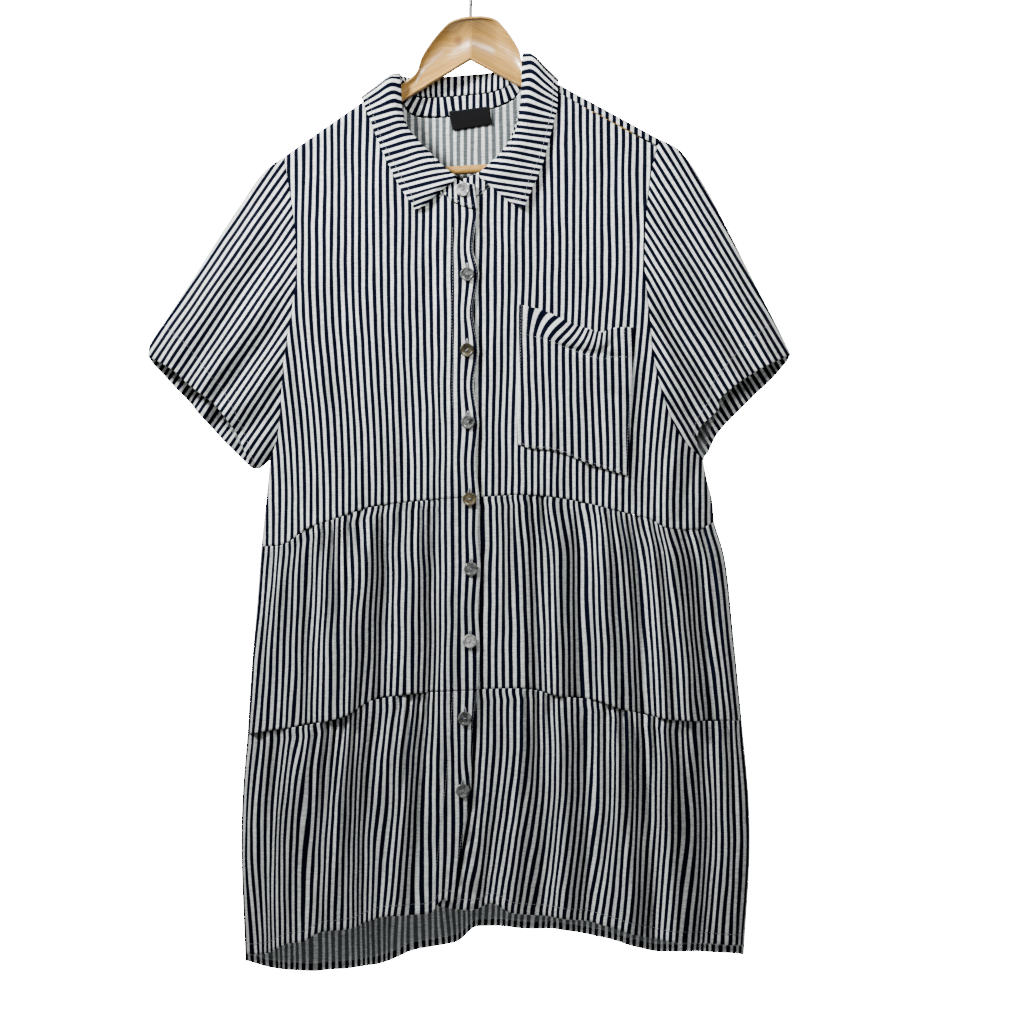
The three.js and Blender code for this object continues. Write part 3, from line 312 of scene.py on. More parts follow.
def striped(name, dark, dark_slub, light, light_slub, sharp, fade=0.78):
    """Woven cotton, striped along v: navy and off-white yarns, slubs, a fine weave and a slight crinkle, and long
    vertical streaks of painted fold shade that darken it down to fade.
    """
    m, nodes, links, shader = material(name)
    uv = nodes.new("ShaderNodeUVMap")
    uv.uv_map = "cloth"
    split = nodes.new("ShaderNodeSeparateXYZ")
    links.new(uv.outputs[0], split.inputs[0])
    u, v = split.outputs["X"], split.outputs["Y"]

    def stretched(su, sv):
        join = nodes.new("ShaderNodeCombineXYZ")
        links.new(maths(nodes, links, "MULTIPLY", u, su), join.inputs["X"])
        links.new(maths(nodes, links, "MULTIPLY", v, sv), join.inputs["Y"])
        return join.outputs[0]

    sway = maths(nodes, links, "SUBTRACT", noised(nodes, links, stretched(1, 0.4), 26, 2), 0.5)
    shifted = maths(nodes, links, "ADD", u, maths(nodes, links, "MULTIPLY", sway, 0.0045))
    part = maths(nodes, links, "FRACT", maths(nodes, links, "DIVIDE", shifted, STRIPE * MM))
    away = maths(nodes, links, "ABSOLUTE", maths(nodes, links, "SUBTRACT", part, 0.5))
    fray = noised(nodes, links, stretched(1, 1), 2600, 1)
    edge = maths(nodes, links, "ADD", away, maths(nodes, links, "MULTIPLY", maths(nodes, links, "SUBTRACT", fray, 0.5), 0.09))
    navy = ranged(nodes, links, edge, NAVY_HALF - sharp, NAVY_HALF + sharp, 1.0, 0.0, True)
    along = noised(nodes, links, stretched(2400, 260), 1, 3, 0.6)
    across = noised(nodes, links, stretched(300, 2600), 1, 3, 0.6)
    slub = maths(nodes, links, "MULTIPLY", maths(nodes, links, "ADD", along, across), 0.5)
    grain = ranged(nodes, links, slub, 0.36, 0.62, 0.0, 1.0)
    weft = noised(nodes, links, stretched(110, 820), 1, 2, 0.6)
    # Long vertical streaks, darkest at fade: painted shade standing in for the shade of the folds.
    painted_fold_shade = noised(nodes, links, stretched(70, 7), 1, 2, 0.55)
    cloud = ranged(nodes, links, noised(nodes, links, stretched(1, 1), 24, 3), 0.3, 0.7, 0.0, 1.0)
    pale = blended(nodes, links, grain, light_slub, light)
    deep = blended(nodes, links, grain, dark, dark_slub)
    colour = blended(nodes, links, navy, pale, deep)
    toned = nodes.new("ShaderNodeHueSaturation")
    links.new(colour, toned.inputs["Color"])
    # The value is random tone times painted fold shade times the weave.
    tone_weave_and_painted_shade = maths(nodes, links, "MULTIPLY", ranged(nodes, links, cloud, 0, 1, 0.93, 1.04),
                 ranged(nodes, links, painted_fold_shade, 0.34, 0.6, fade, 1.03))
    tone_weave_and_painted_shade = maths(nodes, links, "MULTIPLY", tone_weave_and_painted_shade, ranged(nodes, links, weft, 0.36, 0.62, 0.66, 1.08))
    links.new(tone_weave_and_painted_shade, toned.inputs["Value"])
    links.new(toned.outputs[0], shader.inputs["Base Color"])
    shader.inputs["Roughness"].default_value = 0.86
    shader.inputs["Sheen Weight"].default_value = 0.0
    shader.inputs["Sheen Roughness"].default_value = 0.5
    shader.inputs["Specular IOR Level"].default_value = 0.02
    crinkle = noised(nodes, links, stretched(1.6, 0.8), 130, 3, 0.55)
    fine = nodes.new("ShaderNodeBump")
    fine.inputs["Strength"].default_value = 0.35
    fine.inputs["Distance"].default_value = 0.0003
    links.new(slub, fine.inputs["Height"])
    bump = nodes.new("ShaderNodeBump")
    bump.inputs["Strength"].default_value = 0.4
    bump.inputs["Distance"].default_value = 0.0015
    links.new(crinkle, bump.inputs["Height"])
    links.new(fine.outputs[0], bump.inputs["Normal"])
    links.new(bump.outputs[0], shader.inputs["Normal"])
    return m


FACE = striped("cloth_face", (0.0002, 0.0005, 0.0042), (0.0012, 0.0022, 0.010), (0.82, 0.85, 0.81), (0.46, 0.5, 0.5), 0.05)
# The tiers take a darker copy of the face with deeper fold streaks: painted shade for the skirt, which hangs lower and
# lies in folds.
FACE_TIERS_PAINTED_SHADE = striped("cloth_face_creased", (0.0002, 0.0005, 0.0042), (0.0012, 0.0022, 0.010), (0.75, 0.78, 0.75),
                     (0.42, 0.45, 0.46), 0.05, fade=0.6)
WRONG = striped("cloth_wrong_side", (0.045, 0.054, 0.058), (0.1, 0.115, 0.12), (0.66, 0.68, 0.66), (0.42, 0.45, 0.46), 0.08)


def plain(name, colour, other, scale, rough, metal=0.0, bump=0.0, stretch=(1, 1, 1), gloss=0.5):
    m, nodes, links, shader = material(name)
    shader.inputs["Specular IOR Level"].default_value = gloss
    where = nodes.new("ShaderNodeTexCoord")
    turned = nodes.new("ShaderNodeMapping")
    turned.inputs["Scale"].default_value = stretch
    links.new(where.outputs["Object"], turned.inputs["Vector"])
    n = noised(nodes, links, turned.outputs[0], scale, 4, 0.6)
    links.new(blended(nodes, links, ranged(nodes, links, n, 0.35, 0.65, 0, 1), colour, other), shader.inputs["Base Color"])
    links.new(ranged(nodes, links, n, 0.3, 0.7, rough - 0.05, rough + 0.07), shader.inputs["Roughness"])
    shader.inputs["Metallic"].default_value = metal
    if bump:
        b = nodes.new("ShaderNodeBump")
        b.inputs["Strength"].default_value = 0.5
        b.inputs["Distance"].default_value = bump
        links.new(n, b.inputs["Height"])
        links.new(b.outputs[0], shader.inputs["Normal"])
    return m


LABEL = plain("label_weave", (0.0008, 0.0008, 0.001), (0.003, 0.003, 0.0035), 900, 0.75, bump=0.0002, stretch=(1, 1, 4), gloss=0.06)
THREAD = plain("thread_pale", (0.26, 0.27, 0.28), (0.17, 0.18, 0.19), 900, 0.7, bump=0.0001, gloss=0.1)
# Dark thread for the label's stitches; also the painted shade of button holes and buttonhole slits.
THREAD_DARK_AND_HOLE_SHADE = plain("thread_dark_and_hole_shade", (0.012, 0.014, 0.03), (0.03, 0.034, 0.06), 900, 0.75, bump=0.0001, gloss=0.1)
SHELLS = {
    "white": plain("shell_white", (0.34, 0.34, 0.33), (0.06, 0.062, 0.065), 190, 0.22),
    "grey": plain("shell_grey", (0.012, 0.013, 0.013), (0.12, 0.125, 0.12), 210, 0.2),
    "olive": plain("shell_olive", (0.012, 0.01, 0.006), (0.06, 0.052, 0.03), 190, 0.22),
    "bronze": plain("shell_bronze", (0.02, 0.016, 0.008), (0.08, 0.066, 0.034), 190, 0.22),
}
STEEL = plain("hook_steel", (0.62, 0.63, 0.65), (0.5, 0.51, 0.53), 90, 0.2, metal=1.0)


def wooden():
    """Lacquered amber wood: long grain, pores, a knot, and a glued joint down the middle."""
    m, nodes, links, shader = material("hanger_wood")
    where = nodes.new("ShaderNodeTexCoord").outputs["Object"]
    split = nodes.new("ShaderNodeSeparateXYZ")
    links.new(where, split.inputs[0])
    x, z = split.outputs["X"], split.outputs["Z"]
    # The two halves meet at a slanting joint, and the grain of each follows its own arm.
    side = maths(nodes, links, "ABSOLUTE", x)
    level = maths(nodes, links, "ADD", z, maths(nodes, links, "MULTIPLY", side, 0.52))
    knot_x = maths(nodes, links, "ADD", x, 0.012)
    knot_z = maths(nodes, links, "ADD", z, 0.103)
    far = maths(nodes, links, "SQRT", maths(nodes, links, "ADD", maths(nodes, links, "MULTIPLY", knot_x, knot_x),
                maths(nodes, links, "MULTIPLY", maths(nodes, links, "MULTIPLY", knot_z, knot_z), 0.55)))
    pull = ranged(nodes, links, far, 0.0, 0.02, 0.010, 0.0, True)
    bent = maths(nodes, links, "ADD", level, pull)
    join = nodes.new("ShaderNodeCombineXYZ")
    links.new(maths(nodes, links, "MULTIPLY", x, 18), join.inputs["X"])
    links.new(maths(nodes, links, "MULTIPLY", bent, 420), join.inputs["Y"])
    grain = noised(nodes, links, join.outputs[0], 1.0, 4, 0.65)
    pores = nodes.new("ShaderNodeCombineXYZ")
    links.new(maths(nodes, links, "MULTIPLY", x, 120), pores.inputs["X"])
    links.new(maths(nodes, links, "MULTIPLY", bent, 2600), pores.inputs["Y"])
    fine = noised(nodes, links, pores.outputs[0], 1.0, 2, 0.6)
    tone = blended(nodes, links, ranged(nodes, links, grain, 0.3, 0.7, 0, 1), (0.2, 0.094, 0.015), (0.37, 0.21, 0.05))
    tone = blended(nodes, links, ranged(nodes, links, fine, 0.62, 0.75, 0, 0.5), tone, (0.27, 0.13, 0.04))
    tone = blended(nodes, links, ranged(nodes, links, far, 0.0015, 0.006, 0.75, 0.0, True), tone, (0.13, 0.05, 0.015))
    seam = ranged(nodes, links, maths(nodes, links, "ABSOLUTE", maths(nodes, links, "ADD", x, 0.001)), 0.0002, 0.0007, 0.6, 0.0)
    tone = blended(nodes, links, seam, tone, (0.2, 0.09, 0.03))
    links.new(tone, shader.inputs["Base Color"])
    links.new(ranged(nodes, links, grain, 0.3, 0.7, 0.28, 0.42), shader.inputs["Roughness"])
    shader.inputs["Coat Weight"].default_value = 0.35
    shader.inputs["Coat Roughness"].default_value = 0.18
    bump = nodes.new("ShaderNodeBump")
    bump.inputs["Strength"].default_value = 0.25
    bump.inputs["Distance"].default_value = 0.0003
    links.new(fine, bump.inputs["Height"])
    links.new(bump.outputs[0], shader.inputs["Normal"])
    return m


WOOD = wooden()


# Shells
class Shell:
    """A cloth wall: outer points on a grid (in millimetres), the inner ones moved in by the wall."""

    def __init__(self, name, us, vs, outer, cloth, turn=1, thick=WALL, loop=False, edges=(), keep=None,
                 face_inside=None, nodes=None, slot="striped_cloth", mats=None):
        self.us, self.vs, self.loop = us, vs, loop
        u, v = np.meshgrid(us, vs, indexing="ij")
        out = outer(u, v)
        nu, nv = u.shape
        if loop:
            du = np.roll(out, -1, 0) - np.roll(out, 1, 0)
        else:
            du = np.gradient(out, axis=0)
        dv = np.gradient(out, axis=1)
        normal = np.cross(du, dv) * turn
        for edge, flat in edges:
            where = {"top": np.s_[:, 0], "bottom": np.s_[:, -1], "start": np.s_[0, :], "end": np.s_[-1, :]}[edge]
            part = normal[where]
            part[..., flat] = 0
            normal[where] = part
        size = np.linalg.norm(normal, axis=-1, keepdims=True)
        normal = normal / np.maximum(size, 1e-9)
        t = np.broadcast_to(thick(u, v) if callable(thick) else thick, u.shape)
        inn = out - normal * t[..., None]
        if keep:
            inn = keep(inn)
        self.out, self.normal = out, normal
        uv = cloth(u, v, out)
        verts = np.concatenate([out.reshape(-1, 3), inn.reshape(-1, 3)]) * MM
        index = np.arange(nu * nv).reshape(nu, nv)
        i = np.arange(nu if loop else nu - 1)
        n = (i + 1) % nu
        faces, mat = [], []
        a, b, c, d = index[i][:, :-1], index[n][:, :-1], index[n][:, 1:], index[i][:, 1:]
        outer_quads = np.stack([a, b, c, d], -1).reshape(-1, 4)
        inner_quads = np.stack([d, c, b, a], -1).reshape(-1, 4) + nu * nv
        off = nu * nv
        rims = [np.stack([index[i, 0] + off, index[n, 0] + off, index[n, 0], index[i, 0]], -1),
                np.stack([index[i, -1], index[n, -1], index[n, -1] + off, index[i, -1] + off], -1)]
        if not loop:
            j = np.arange(nv - 1)
            rims += [np.stack([index[0, j] + off, index[0, j], index[0, j + 1], index[0, j + 1] + off], -1),
                     np.stack([index[-1, j], index[-1, j] + off, index[-1, j + 1] + off, index[-1, j + 1]], -1)]
        inside = np.ones((len(i), nv - 1), int)
        if face_inside is not None:
            inside[face_inside(u, v)[i][:, :-1]] = 0
        quads = np.concatenate([outer_quads, inner_quads, *rims])
        if turn < 0:
            quads = quads[:, ::-1]
        mat = np.concatenate([np.zeros(len(outer_quads), int), inside.reshape(-1),
                              np.zeros(sum(len(r) for r in rims), int)])
        # Tiers get the darker face, whose extra darkness is painted shade.
        self.piece = mesh_piece(name, verts, quads, mat, mats or [FACE_TIERS_PAINTED_SHADE if name.startswith("tier") else FACE, WRONG],
                                np.concatenate([uv.reshape(-1, 2)] * 2) * MM)
        if nodes:
            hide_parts(*nodes)

    def at(self, u, v):
        """Points and normals of the outer face at given places of its grid."""
        def spot(values, where):
            k = np.clip(np.searchsorted(values, where, side="right") - 1, 0, len(values) - 2)
            return k, np.clip((where - values[k]) / (values[k + 1] - values[k]), 0, 1)
        i, s = spot(np.asarray(self.us), np.asarray(u, float))
        j, t = spot(np.asarray(self.vs), np.asarray(v, float))
        s, t = s[..., None], t[..., None]
        read = lambda g: mix(mix(g[i, j], g[i + 1, j], s), mix(g[i, j + 1], g[i + 1, j + 1], s), t)
        n = read(self.normal)
        return read(self.out), n / np.linalg.norm(n, axis=-1, keepdims=True)


def mesh_piece(name, verts, quads, mat, mats, uv=None, smooth=True):
    mesh = bpy.data.meshes.new(name)
    quads = np.asarray(quads)
    mesh.vertices.add(len(verts))
    mesh.vertices.foreach_set("co", np.asarray(verts, np.float32).ravel())
    mesh.loops.add(quads.size)
    mesh.loops.foreach_set("vertex_index", quads.ravel().astype(np.int32))
    mesh.polygons.add(len(quads))
    mesh.polygons.foreach_set("loop_start", (np.arange(len(quads)) * quads.shape[1]).astype(np.int32))
    mesh.polygons.foreach_set("material_index", np.broadcast_to(mat, len(quads)).astype(np.int32))
    mesh.polygons.foreach_set("use_smooth", np.full(len(quads), smooth))
    for m in mats:
        mesh.materials.append(m)
    if uv is not None:
        layer = mesh.uv_layers.new(name="cloth")
        layer.data.foreach_set("uv", np.asarray(uv, np.float32)[quads.ravel()].ravel())
    mesh.update(calc_edges=True)
    mesh.validate()
    piece = bpy.data.objects.new(name, mesh)
    bpy.context.scene.collection.objects.link(piece)
    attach(piece, "root")
    return piece


def steps(count, start=0.0, end=1.0):
    return np.linspace(start, end, count + 1)


def in_front(p):
    p[..., 1] = np.minimum(p[..., 1], -GAP / 2)
    return p


def behind(p):
    p[..., 1] = np.maximum(p[..., 1], GAP / 2)
    return p


# Parameters of the panels
NECK_SHARE, ARMHOLE_SHARE = 0.34, 0.8


def armhole_share(first):
    vs = [0, 0.012, 0.035, 0.075, 0.8]
    ts = [*first, 0.09375, 1]
    return lambda v: np.interp(v, vs, ts)


plain_share = armhole_share([0, 0.015, 0.04375])
front_left_share = armhole_share([0.032, 0.038, 0.04375])
back_left_share = armhole_share([0, 0, 0.04375])


def beside(share, armhole, side):
    def read(v):
        v = np.asarray(v, float)
        upper = armhole(share(np.minimum(v, ARMHOLE_SHARE)))
        lower = side(np.clip((v - ARMHOLE_SHARE) / (1 - ARMHOLE_SHARE), 0, 1))
        return np.where((v <= ARMHOLE_SHARE)[..., None], upper, lower)
    return read


def narrowing(drop):
    """The stripes draw together towards the gathered waist."""
    return 1 + 0.1 * ease(drop, 250, 485)


CREASE_DEEP = 1.5
CREASES_FRONT = [
    (-168, 250, -140, 330, 1.6, 9), (-172, 300, -150, 505, -2.4, 9), (-150, 330, -128, 505, 1.9, 9),
    (-118, 120, -132, 330, -1.3, 12), (-95, 300, -88, 490, 1.5, 9), (-60, 380, -66, 488, -1.8, 7),
    (-40, 400, -38, 488, 1.7, 6), (-30, 230, -46, 330, -1.1, 8), (-80, 110, -100, 230, 1.0, 12),
    (-196, 452, -150, 512, -1.9, 6), (-110, 440, -108, 498, 1.5, 6), (-20, 300, -34, 420, 1.0, 8),
    (45, 205, 34, 300, 1.1, 9), (30, 330, 34, 485, -1.5, 7), (84, 400, 80, 488, 1.6, 7),
    (122, 420, 126, 500, -1.7, 7), (150, 470, 146, 506, 1.6, 6), (182, 330, 176, 512, -2.2, 9),
    (208, 430, 196, 516, 1.9, 7), (170, 190, 168, 300, -1.5, 8), (120, 120, 140, 260, 1.2, 13),
    (228, 448, 214, 517, -1.6, 6), (80, 120, 70, 270, -1.0, 12),
]
CREASES_BACK = [
    (-160, 230, -140, 470, 2.0, 11), (-130, 300, -118, 505, -1.8, 9), (-92, 180, -84, 400, 1.4, 12),
    (-50, 330, -54, 498, -1.6, 9), (-12, 150, -8, 330, 1.1, 12), (20, 350, 24, 500, 1.7, 9),
    (60, 200, 70, 420, -1.4, 12), (104, 330, 100, 500, 1.8, 9), (140, 200, 132, 430, -1.6, 11),
    (172, 300, 178, 500, 1.9, 9), (212, 440, 200, 504, -1.7, 7), (-190, 440, -170, 520, 1.6, 7),
]


BAND_FROM = 0.88


def calm_edge_at(drop):
    """The placket's free edge without the waves between its buttons."""
    return np.mean([over_edge_at(np.asarray(drop, float) + k) for k in (-75, -45, -15, 15, 45, 75)], axis=0)


def band_x(x, drop):
    """Where a point of the placket lies across the unwaved cloth."""
    calm, edge = calm_edge_at(drop), over_edge_at(drop)
    share = np.clip((x - calm + BAND_WIDTH) / (edge - calm + BAND_WIDTH), 0, 1)
    return x - (edge - calm) * share ** 1.6


def banded(flat):
    """The same patch with its columns moved so that the placket's inner line is always at BAND_FROM."""
    grid = np.linspace(0.4, 1, 301)

    def read(u, v):
        rows = np.unique(v)
        found = []
        for row in rows:
            xd = flat(grid, np.full(grid.shape, row))
            found.append(np.interp(BAND_WIDTH, (calm_edge_at(xd[:, 1]) - xd[:, 0])[::-1], grid[::-1]))
        split = np.interp(v, rows, found) if len(rows) > 1 else np.full(np.shape(v), found[0])
        moved = np.where(u < BAND_FROM, u / BAND_FROM * split, split + (u - BAND_FROM) / (1 - BAND_FROM) * (1 - split))
        return flat(moved, v)
    return read


def front_point(x, drop, extra, lift):
    return in_front(place3(x, -depth("front", x, drop) - extra - lift, drop))


def calm_near_edges(u, v):
    return ease(np.minimum(u, 1 - u), 0, 0.06) * ease(v, 0, 0.03) * (1 - ease(v, 0.97, 1.0))


def band_step(u):
    """The placket's folded edge stands a thread's width over the panel."""
    return 0.45 * ease(u, BAND_FROM - 0.0005, BAND_FROM + 0.003)


def band_pucker(x, drop):
    away = over_edge_at(drop) - x
    return np.where(away < BAND_WIDTH + 3, 0.35 * noise(drop / 9, away / 9 + 40, 31) + 0.5 * noise(drop / 26, 0 * x, 32), 0)


bodice_right = banded(patch(shoulder_right, waist_right, beside(plain_share, armhole_right, side_right),
                            chain((NECK_SHARE, neck_right), (1, over_edge))))
bodice_left = patch(shoulder_left(FRONT_SEAM), waist_left, beside(front_left_share, armhole_left, side_left),
                    chain((NECK_SHARE, neck_left), (1, line([[-17, 193], [-17, 486]]))))


def right_point(u, v):
    xd = bodice_right(u, v)
    x, drop = xd[..., 0], xd[..., 1] - np.where(v >= 1, GAP / 2, 0)
    extra = (CREASE_DEEP * creased(CREASES_FRONT, x, drop) + crumple(x, drop, 3)) * calm_near_edges(u, v)
    extra = extra * ease(over_edge_at(drop) - x, BAND_WIDTH - 4, BAND_WIDTH + 14)
    low = ease(drop, 200, 230)
    return front_point(x, drop, extra + band_step(u) * low + band_pucker(x, drop) * low, band_lift(x, drop))


def front_cloth(over):
    def read(u, v, p):
        x, drop = p[..., 0], -p[..., 2] - HOOK_RISE
        wide = x * narrowing(drop)
        if over:
            wide = mix(wide, band_x(x, drop), ease(u, 0.8, BAND_FROM) * ease(drop, 185, 210))
        return np.stack([wide, drop], -1)
    return read


front_rows = np.unique(np.round(np.r_[steps(12, 0, 0.06), steps(124, 0.06, 1)], 6))
columns = lambda points, seam=(): np.unique(np.round(np.r_[points, seam], 6))
BODICE_US = columns(steps(96))
OVER_US = columns(steps(100), [BAND_FROM, BAND_FROM + 0.0006, BAND_FROM + 0.0012, BAND_FROM + 0.003])
right = Shell("bodice_front_right_cloth", OVER_US, front_rows, right_point, front_cloth(True), turn=-1, keep=in_front,
              thick=lambda u, v: np.where(u > BAND_FROM, 1.4, WALL), edges=(("bottom", 2), ("end", 0)),
              face_inside=lambda u, v: u > 0.87, nodes=["bodice_front_right"])


def left_point(u, v):
    xd = bodice_left(u, v)
    x, drop = xd[..., 0], xd[..., 1] - np.where(v >= 1, GAP / 2, 0)
    extra = (CREASE_DEEP * creased(CREASES_FRONT, x, drop) + crumple(x, drop, 7)) * calm_near_edges(u, v)
    extra = extra * ease(x, 14, 34)
    turned_in = v <= 0
    p = front_point(x, drop - 1.3 * turned_in, extra, 0)
    p[..., 1] += 0.1 * turned_in
    return p


left = Shell("bodice_front_left_cloth", BODICE_US, front_rows, left_point, front_cloth(False), turn=1, keep=in_front,
             edges=(("bottom", 2), ("end", 0)), nodes=["bodice_front_left"])

NECK_FROM, NECK_TO = 0.2852825587615371, 0.6600982798263431
WRAP_SHARE, WRAP_INSET = 0.012, 3.6
forward_seam = shoulder_left(-FORWARD_SEAM, WRAP_INSET)


def back_left_side(v):
    v = np.asarray(v, float)
    whole = beside(back_left_share, armhole_left, side_left)(v)
    corner = forward_seam(np.array(0.0))[1]
    wrap = np.stack([192 - WRAP_INSET * (1 - v / WRAP_SHARE), mix(corner, 124, v / WRAP_SHARE)], -1)
    return np.where((v < WRAP_SHARE)[..., None], wrap, whole)


back_patch = patch(chain((NECK_FROM, shoulder_right), (NECK_TO, neck_back), (1, lambda t: forward_seam(1 - t))),
                   waist_back, beside(plain_share, armhole_right, side_right), back_left_side)


def back_point(u, v):
    xd = back_patch(u, v)
    x, drop = xd[..., 0], xd[..., 1] - np.where(v >= 1, GAP / 2, 0)
    extra = (CREASE_DEEP * creased(CREASES_BACK, x, drop) + crumple(x, drop, 11)) * calm_near_edges(u, v) * ease(drop, 150, 210)
    wrapped = ridge(x) - drop
    over = (wrapped > 0) & (x > 50)
    flat = behind(place3(x, depth("back", x, drop) + extra, drop))
    turned = place3(x, -depth("front", x, ridge(x) + wrapped), ridge(x) + wrapped)
    return np.where(over[..., None], turned, flat)


def back_cloth(u, v, p):
    xd = back_patch(u, v)
    return np.stack([xd[..., 0] * narrowing(xd[..., 1]) + 1.5, xd[..., 1]], -1)


back = Shell("bodice_back_cloth", columns(steps(180), [NECK_FROM, NECK_TO]),
             np.unique(np.round(np.r_[steps(24, 0, 0.06), steps(120, 0.06, 1)], 6)), back_point, back_cloth, turn=1,
             keep=lambda p: np.where((p[..., 1] > -1)[..., None], behind(p.copy()), p), edges=(("bottom", 2),),
             nodes=["bodice_back"])

# Sleeves: the front half of the ring first, then the back half
SLEEVES = {
    "right": dict(
        sign=-1, armhole=armhole_right, axis=((-187, 141), (-325, 343)),
        upper=line([[-187, 141], [-208, 157], [-232, 191], [-256, 227], [-280, 265], [-304, 302], [-323, 331],
                    [-325, 343]]),
        under=line([[-202, 448], [-212, 456], [-220, 456]]),
        front=line([[-325, 343], [-299, 357], [-284, 371], [-256, 393], [-235, 421], [-220, 456]]),
        back=line([[-325, 343], [-320, 351], [-289, 384], [-259, 418], [-227, 450], [-220, 456]]),
        folds=[(0.1, 0.16, 3, 0.05), (0.24, 0.3, -3, 0.05), (0.38, 0.42, 4, 0.06), (0.55, 0.52, -4, 0.05),
               (0.7, 0.64, 3.5, 0.06), (0.84, 0.78, -3, 0.05)]),
    "left": dict(
        sign=1, armhole=armhole_left, axis=((192, 124), (323, 341)),
        upper=line([[192, 124], [212, 136], [236, 171], [260, 216], [284, 264], [308, 310], [323, 341]]),
        under=line([[235, 448], [236, 444]]),
        front=line([[323, 341], [285, 360], [252, 385], [249, 397], [231, 415], [228, 433], [236, 444]]),
        back=line([[323, 341], [319, 349], [304, 366], [285, 384], [266, 403], [249, 422], [240, 440], [236, 444]]),
        folds=[(0.08, 0.14, 3, 0.05), (0.22, 0.26, -3, 0.05), (0.36, 0.4, 4, 0.06), (0.5, 0.56, -4, 0.06),
               (0.66, 0.7, 4, 0.06), (0.8, 0.82, -3, 0.05)]),
}
CUFF_HALF, CUFF_FROM, SLEEVE_FULL = 13.0, 0.84, 1.11


def sleeve_point(sleeve):
    halves = [patch(sleeve["armhole"], sleeve[side], sleeve["upper"], sleeve["under"]) for side in ("front", "back")]

    def read(k, v):
        front = k < 1
        a = np.where(front, k, 2 - k)
        xd = np.where(front[..., None], halves[0](a, v), halves[1](a, v))
        x, drop = xd[..., 0], xd[..., 1]
        start = sleeve["armhole"](a)
        root = np.where(front, depth("front", start[..., 0], start[..., 1]), depth("back", start[..., 0], start[..., 1]))
        end = CUFF_HALF * np.sqrt(1 - np.clip(2 * a - 1, -1, 1) ** 4)
        out = mix(root, end, ease(v, 0, 1))
        fade = ease(v, 0, 0.25) * (1 - (2 * a - 1) ** 4)
        for top, foot, high, wide in sleeve["folds"]:
            out = out + CREASE_DEEP * high * fade * np.exp(-((a - mix(top, foot, v)) / wide) ** 2)
        rough = crumple(x * 1.2, drop * 0.8, 17) + 0.8 * noise(a * 14 + v * 3, v * 3.5, 23)
        out = out + rough * ease(v, 0.0, 0.12) * (1 - (2 * a - 1) ** 4) * (1 - 0.5 * ease(v, 0.84, 1))
        out = out + 0.45 * ease(v, CUFF_FROM - 0.004, CUFF_FROM + 0.004) * (1 - (2 * a - 1) ** 8)
        first = v <= 0
        out = np.maximum(out - 0.6 * first, 0)
        inset = np.where(first, -1.2, GAP)
        return place3(x + sleeve["sign"] * inset, np.where(front, -out, out), drop)
    return read


def sleeve_cloth(sleeve):
    (x0, d0), (x1, d1) = sleeve["axis"]
    length = math.hypot(x1 - x0, d1 - d0)
    ax, ad = (x1 - x0) / length, (d1 - d0) / length

    def read(k, v, p):
        x, drop = p[..., 0], -p[..., 2] - HOOK_RISE
        across = (x - x0) * ad - (drop - d0) * ax
        across = across * sleeve["sign"] * SLEEVE_FULL
        return np.stack([np.where(k < 1, across, 2 * STRIPE * 3 - across), (x - x0) * ax + (drop - d0) * ad], -1)
    return read


sleeves = {}
ring = np.unique(np.round(np.r_[0.0, 0.004, 0.012, 0.024, steps(64, 0.04, 0.96), 0.976, 0.988, 0.996], 6))
ring = np.r_[ring, 1.0, (2 - ring[1:])[::-1]]
sleeve_rows = np.unique(np.round(np.r_[steps(96), CUFF_FROM - 0.004, CUFF_FROM, CUFF_FROM + 0.004], 6))
for side, sleeve in SLEEVES.items():
    sleeves[side] = Shell(f"sleeve_{side}_cloth", ring, sleeve_rows, sleeve_point(sleeve), sleeve_cloth(sleeve),
                          turn=sleeve["sign"], loop=True, edges=(("top", 0),),
                          face_inside=lambda k, v: v >= CUFF_FROM, nodes=[f"sleeve_{side}"])

# Tiers: gathers that die out below the seam, long folds that grow out of them
FOLDS = {
    "upper_right": [(-185, -214, 4, 8), (-163, -160, -4, 7), (-140, -139, 3, 9), (-98, -121, 5, 8), (-88, -87, -5, 7),
                    (-55, -60, 3, 10), (-35, -33, -3, 7)],
    "upper_left": [(34, 14, 4, 8), (66, 68, -4, 7), (88, 86, 3, 8), (108, 108, -5, 6), (130, 142, 4, 9),
                   (163, 176, -5, 7), (182, 194, 4, 8), (198, 221, 4, 8), (228, 238, -4, 7)],
    "lower_right": [(-192, -210, -5, 8), (-167, -196, 5, 10), (-140, -150, -4, 8), (-120, -150, 5, 9),
                    (-98, -108, -6, 8), (-70, -72, 4, 10), (-45, -52, -4, 8)],
    "lower_left": [(35, 10, -5, 9), (52, 42, 4, 8), (68, 75, -4, 8), (92, 95, 4, 9), (115, 117, -4, 8),
                   (148, 161, 5, 9), (170, 180, -4, 8), (196, 203, 5, 9), (232, 238, -4, 9)],
    "back": [(-190, -200, 4, 9), (-150, -158, -5, 8), (-112, -110, 5, 10), (-70, -78, -4, 8), (-30, -28, 4, 10),
             (12, 16, -5, 9), (55, 60, 4, 9), (95, 98, -4, 8), (138, 146, 5, 10), (180, 190, -5, 8), (222, 232, 4, 9)],
}
GATHER_DEEP, GATHER_FADE = 3.3, 0.36
FOLD_DEEP, FOLD_BROAD = 1.9, 1.15
HALF_WAVES, BACK_WAVES = 14, 24


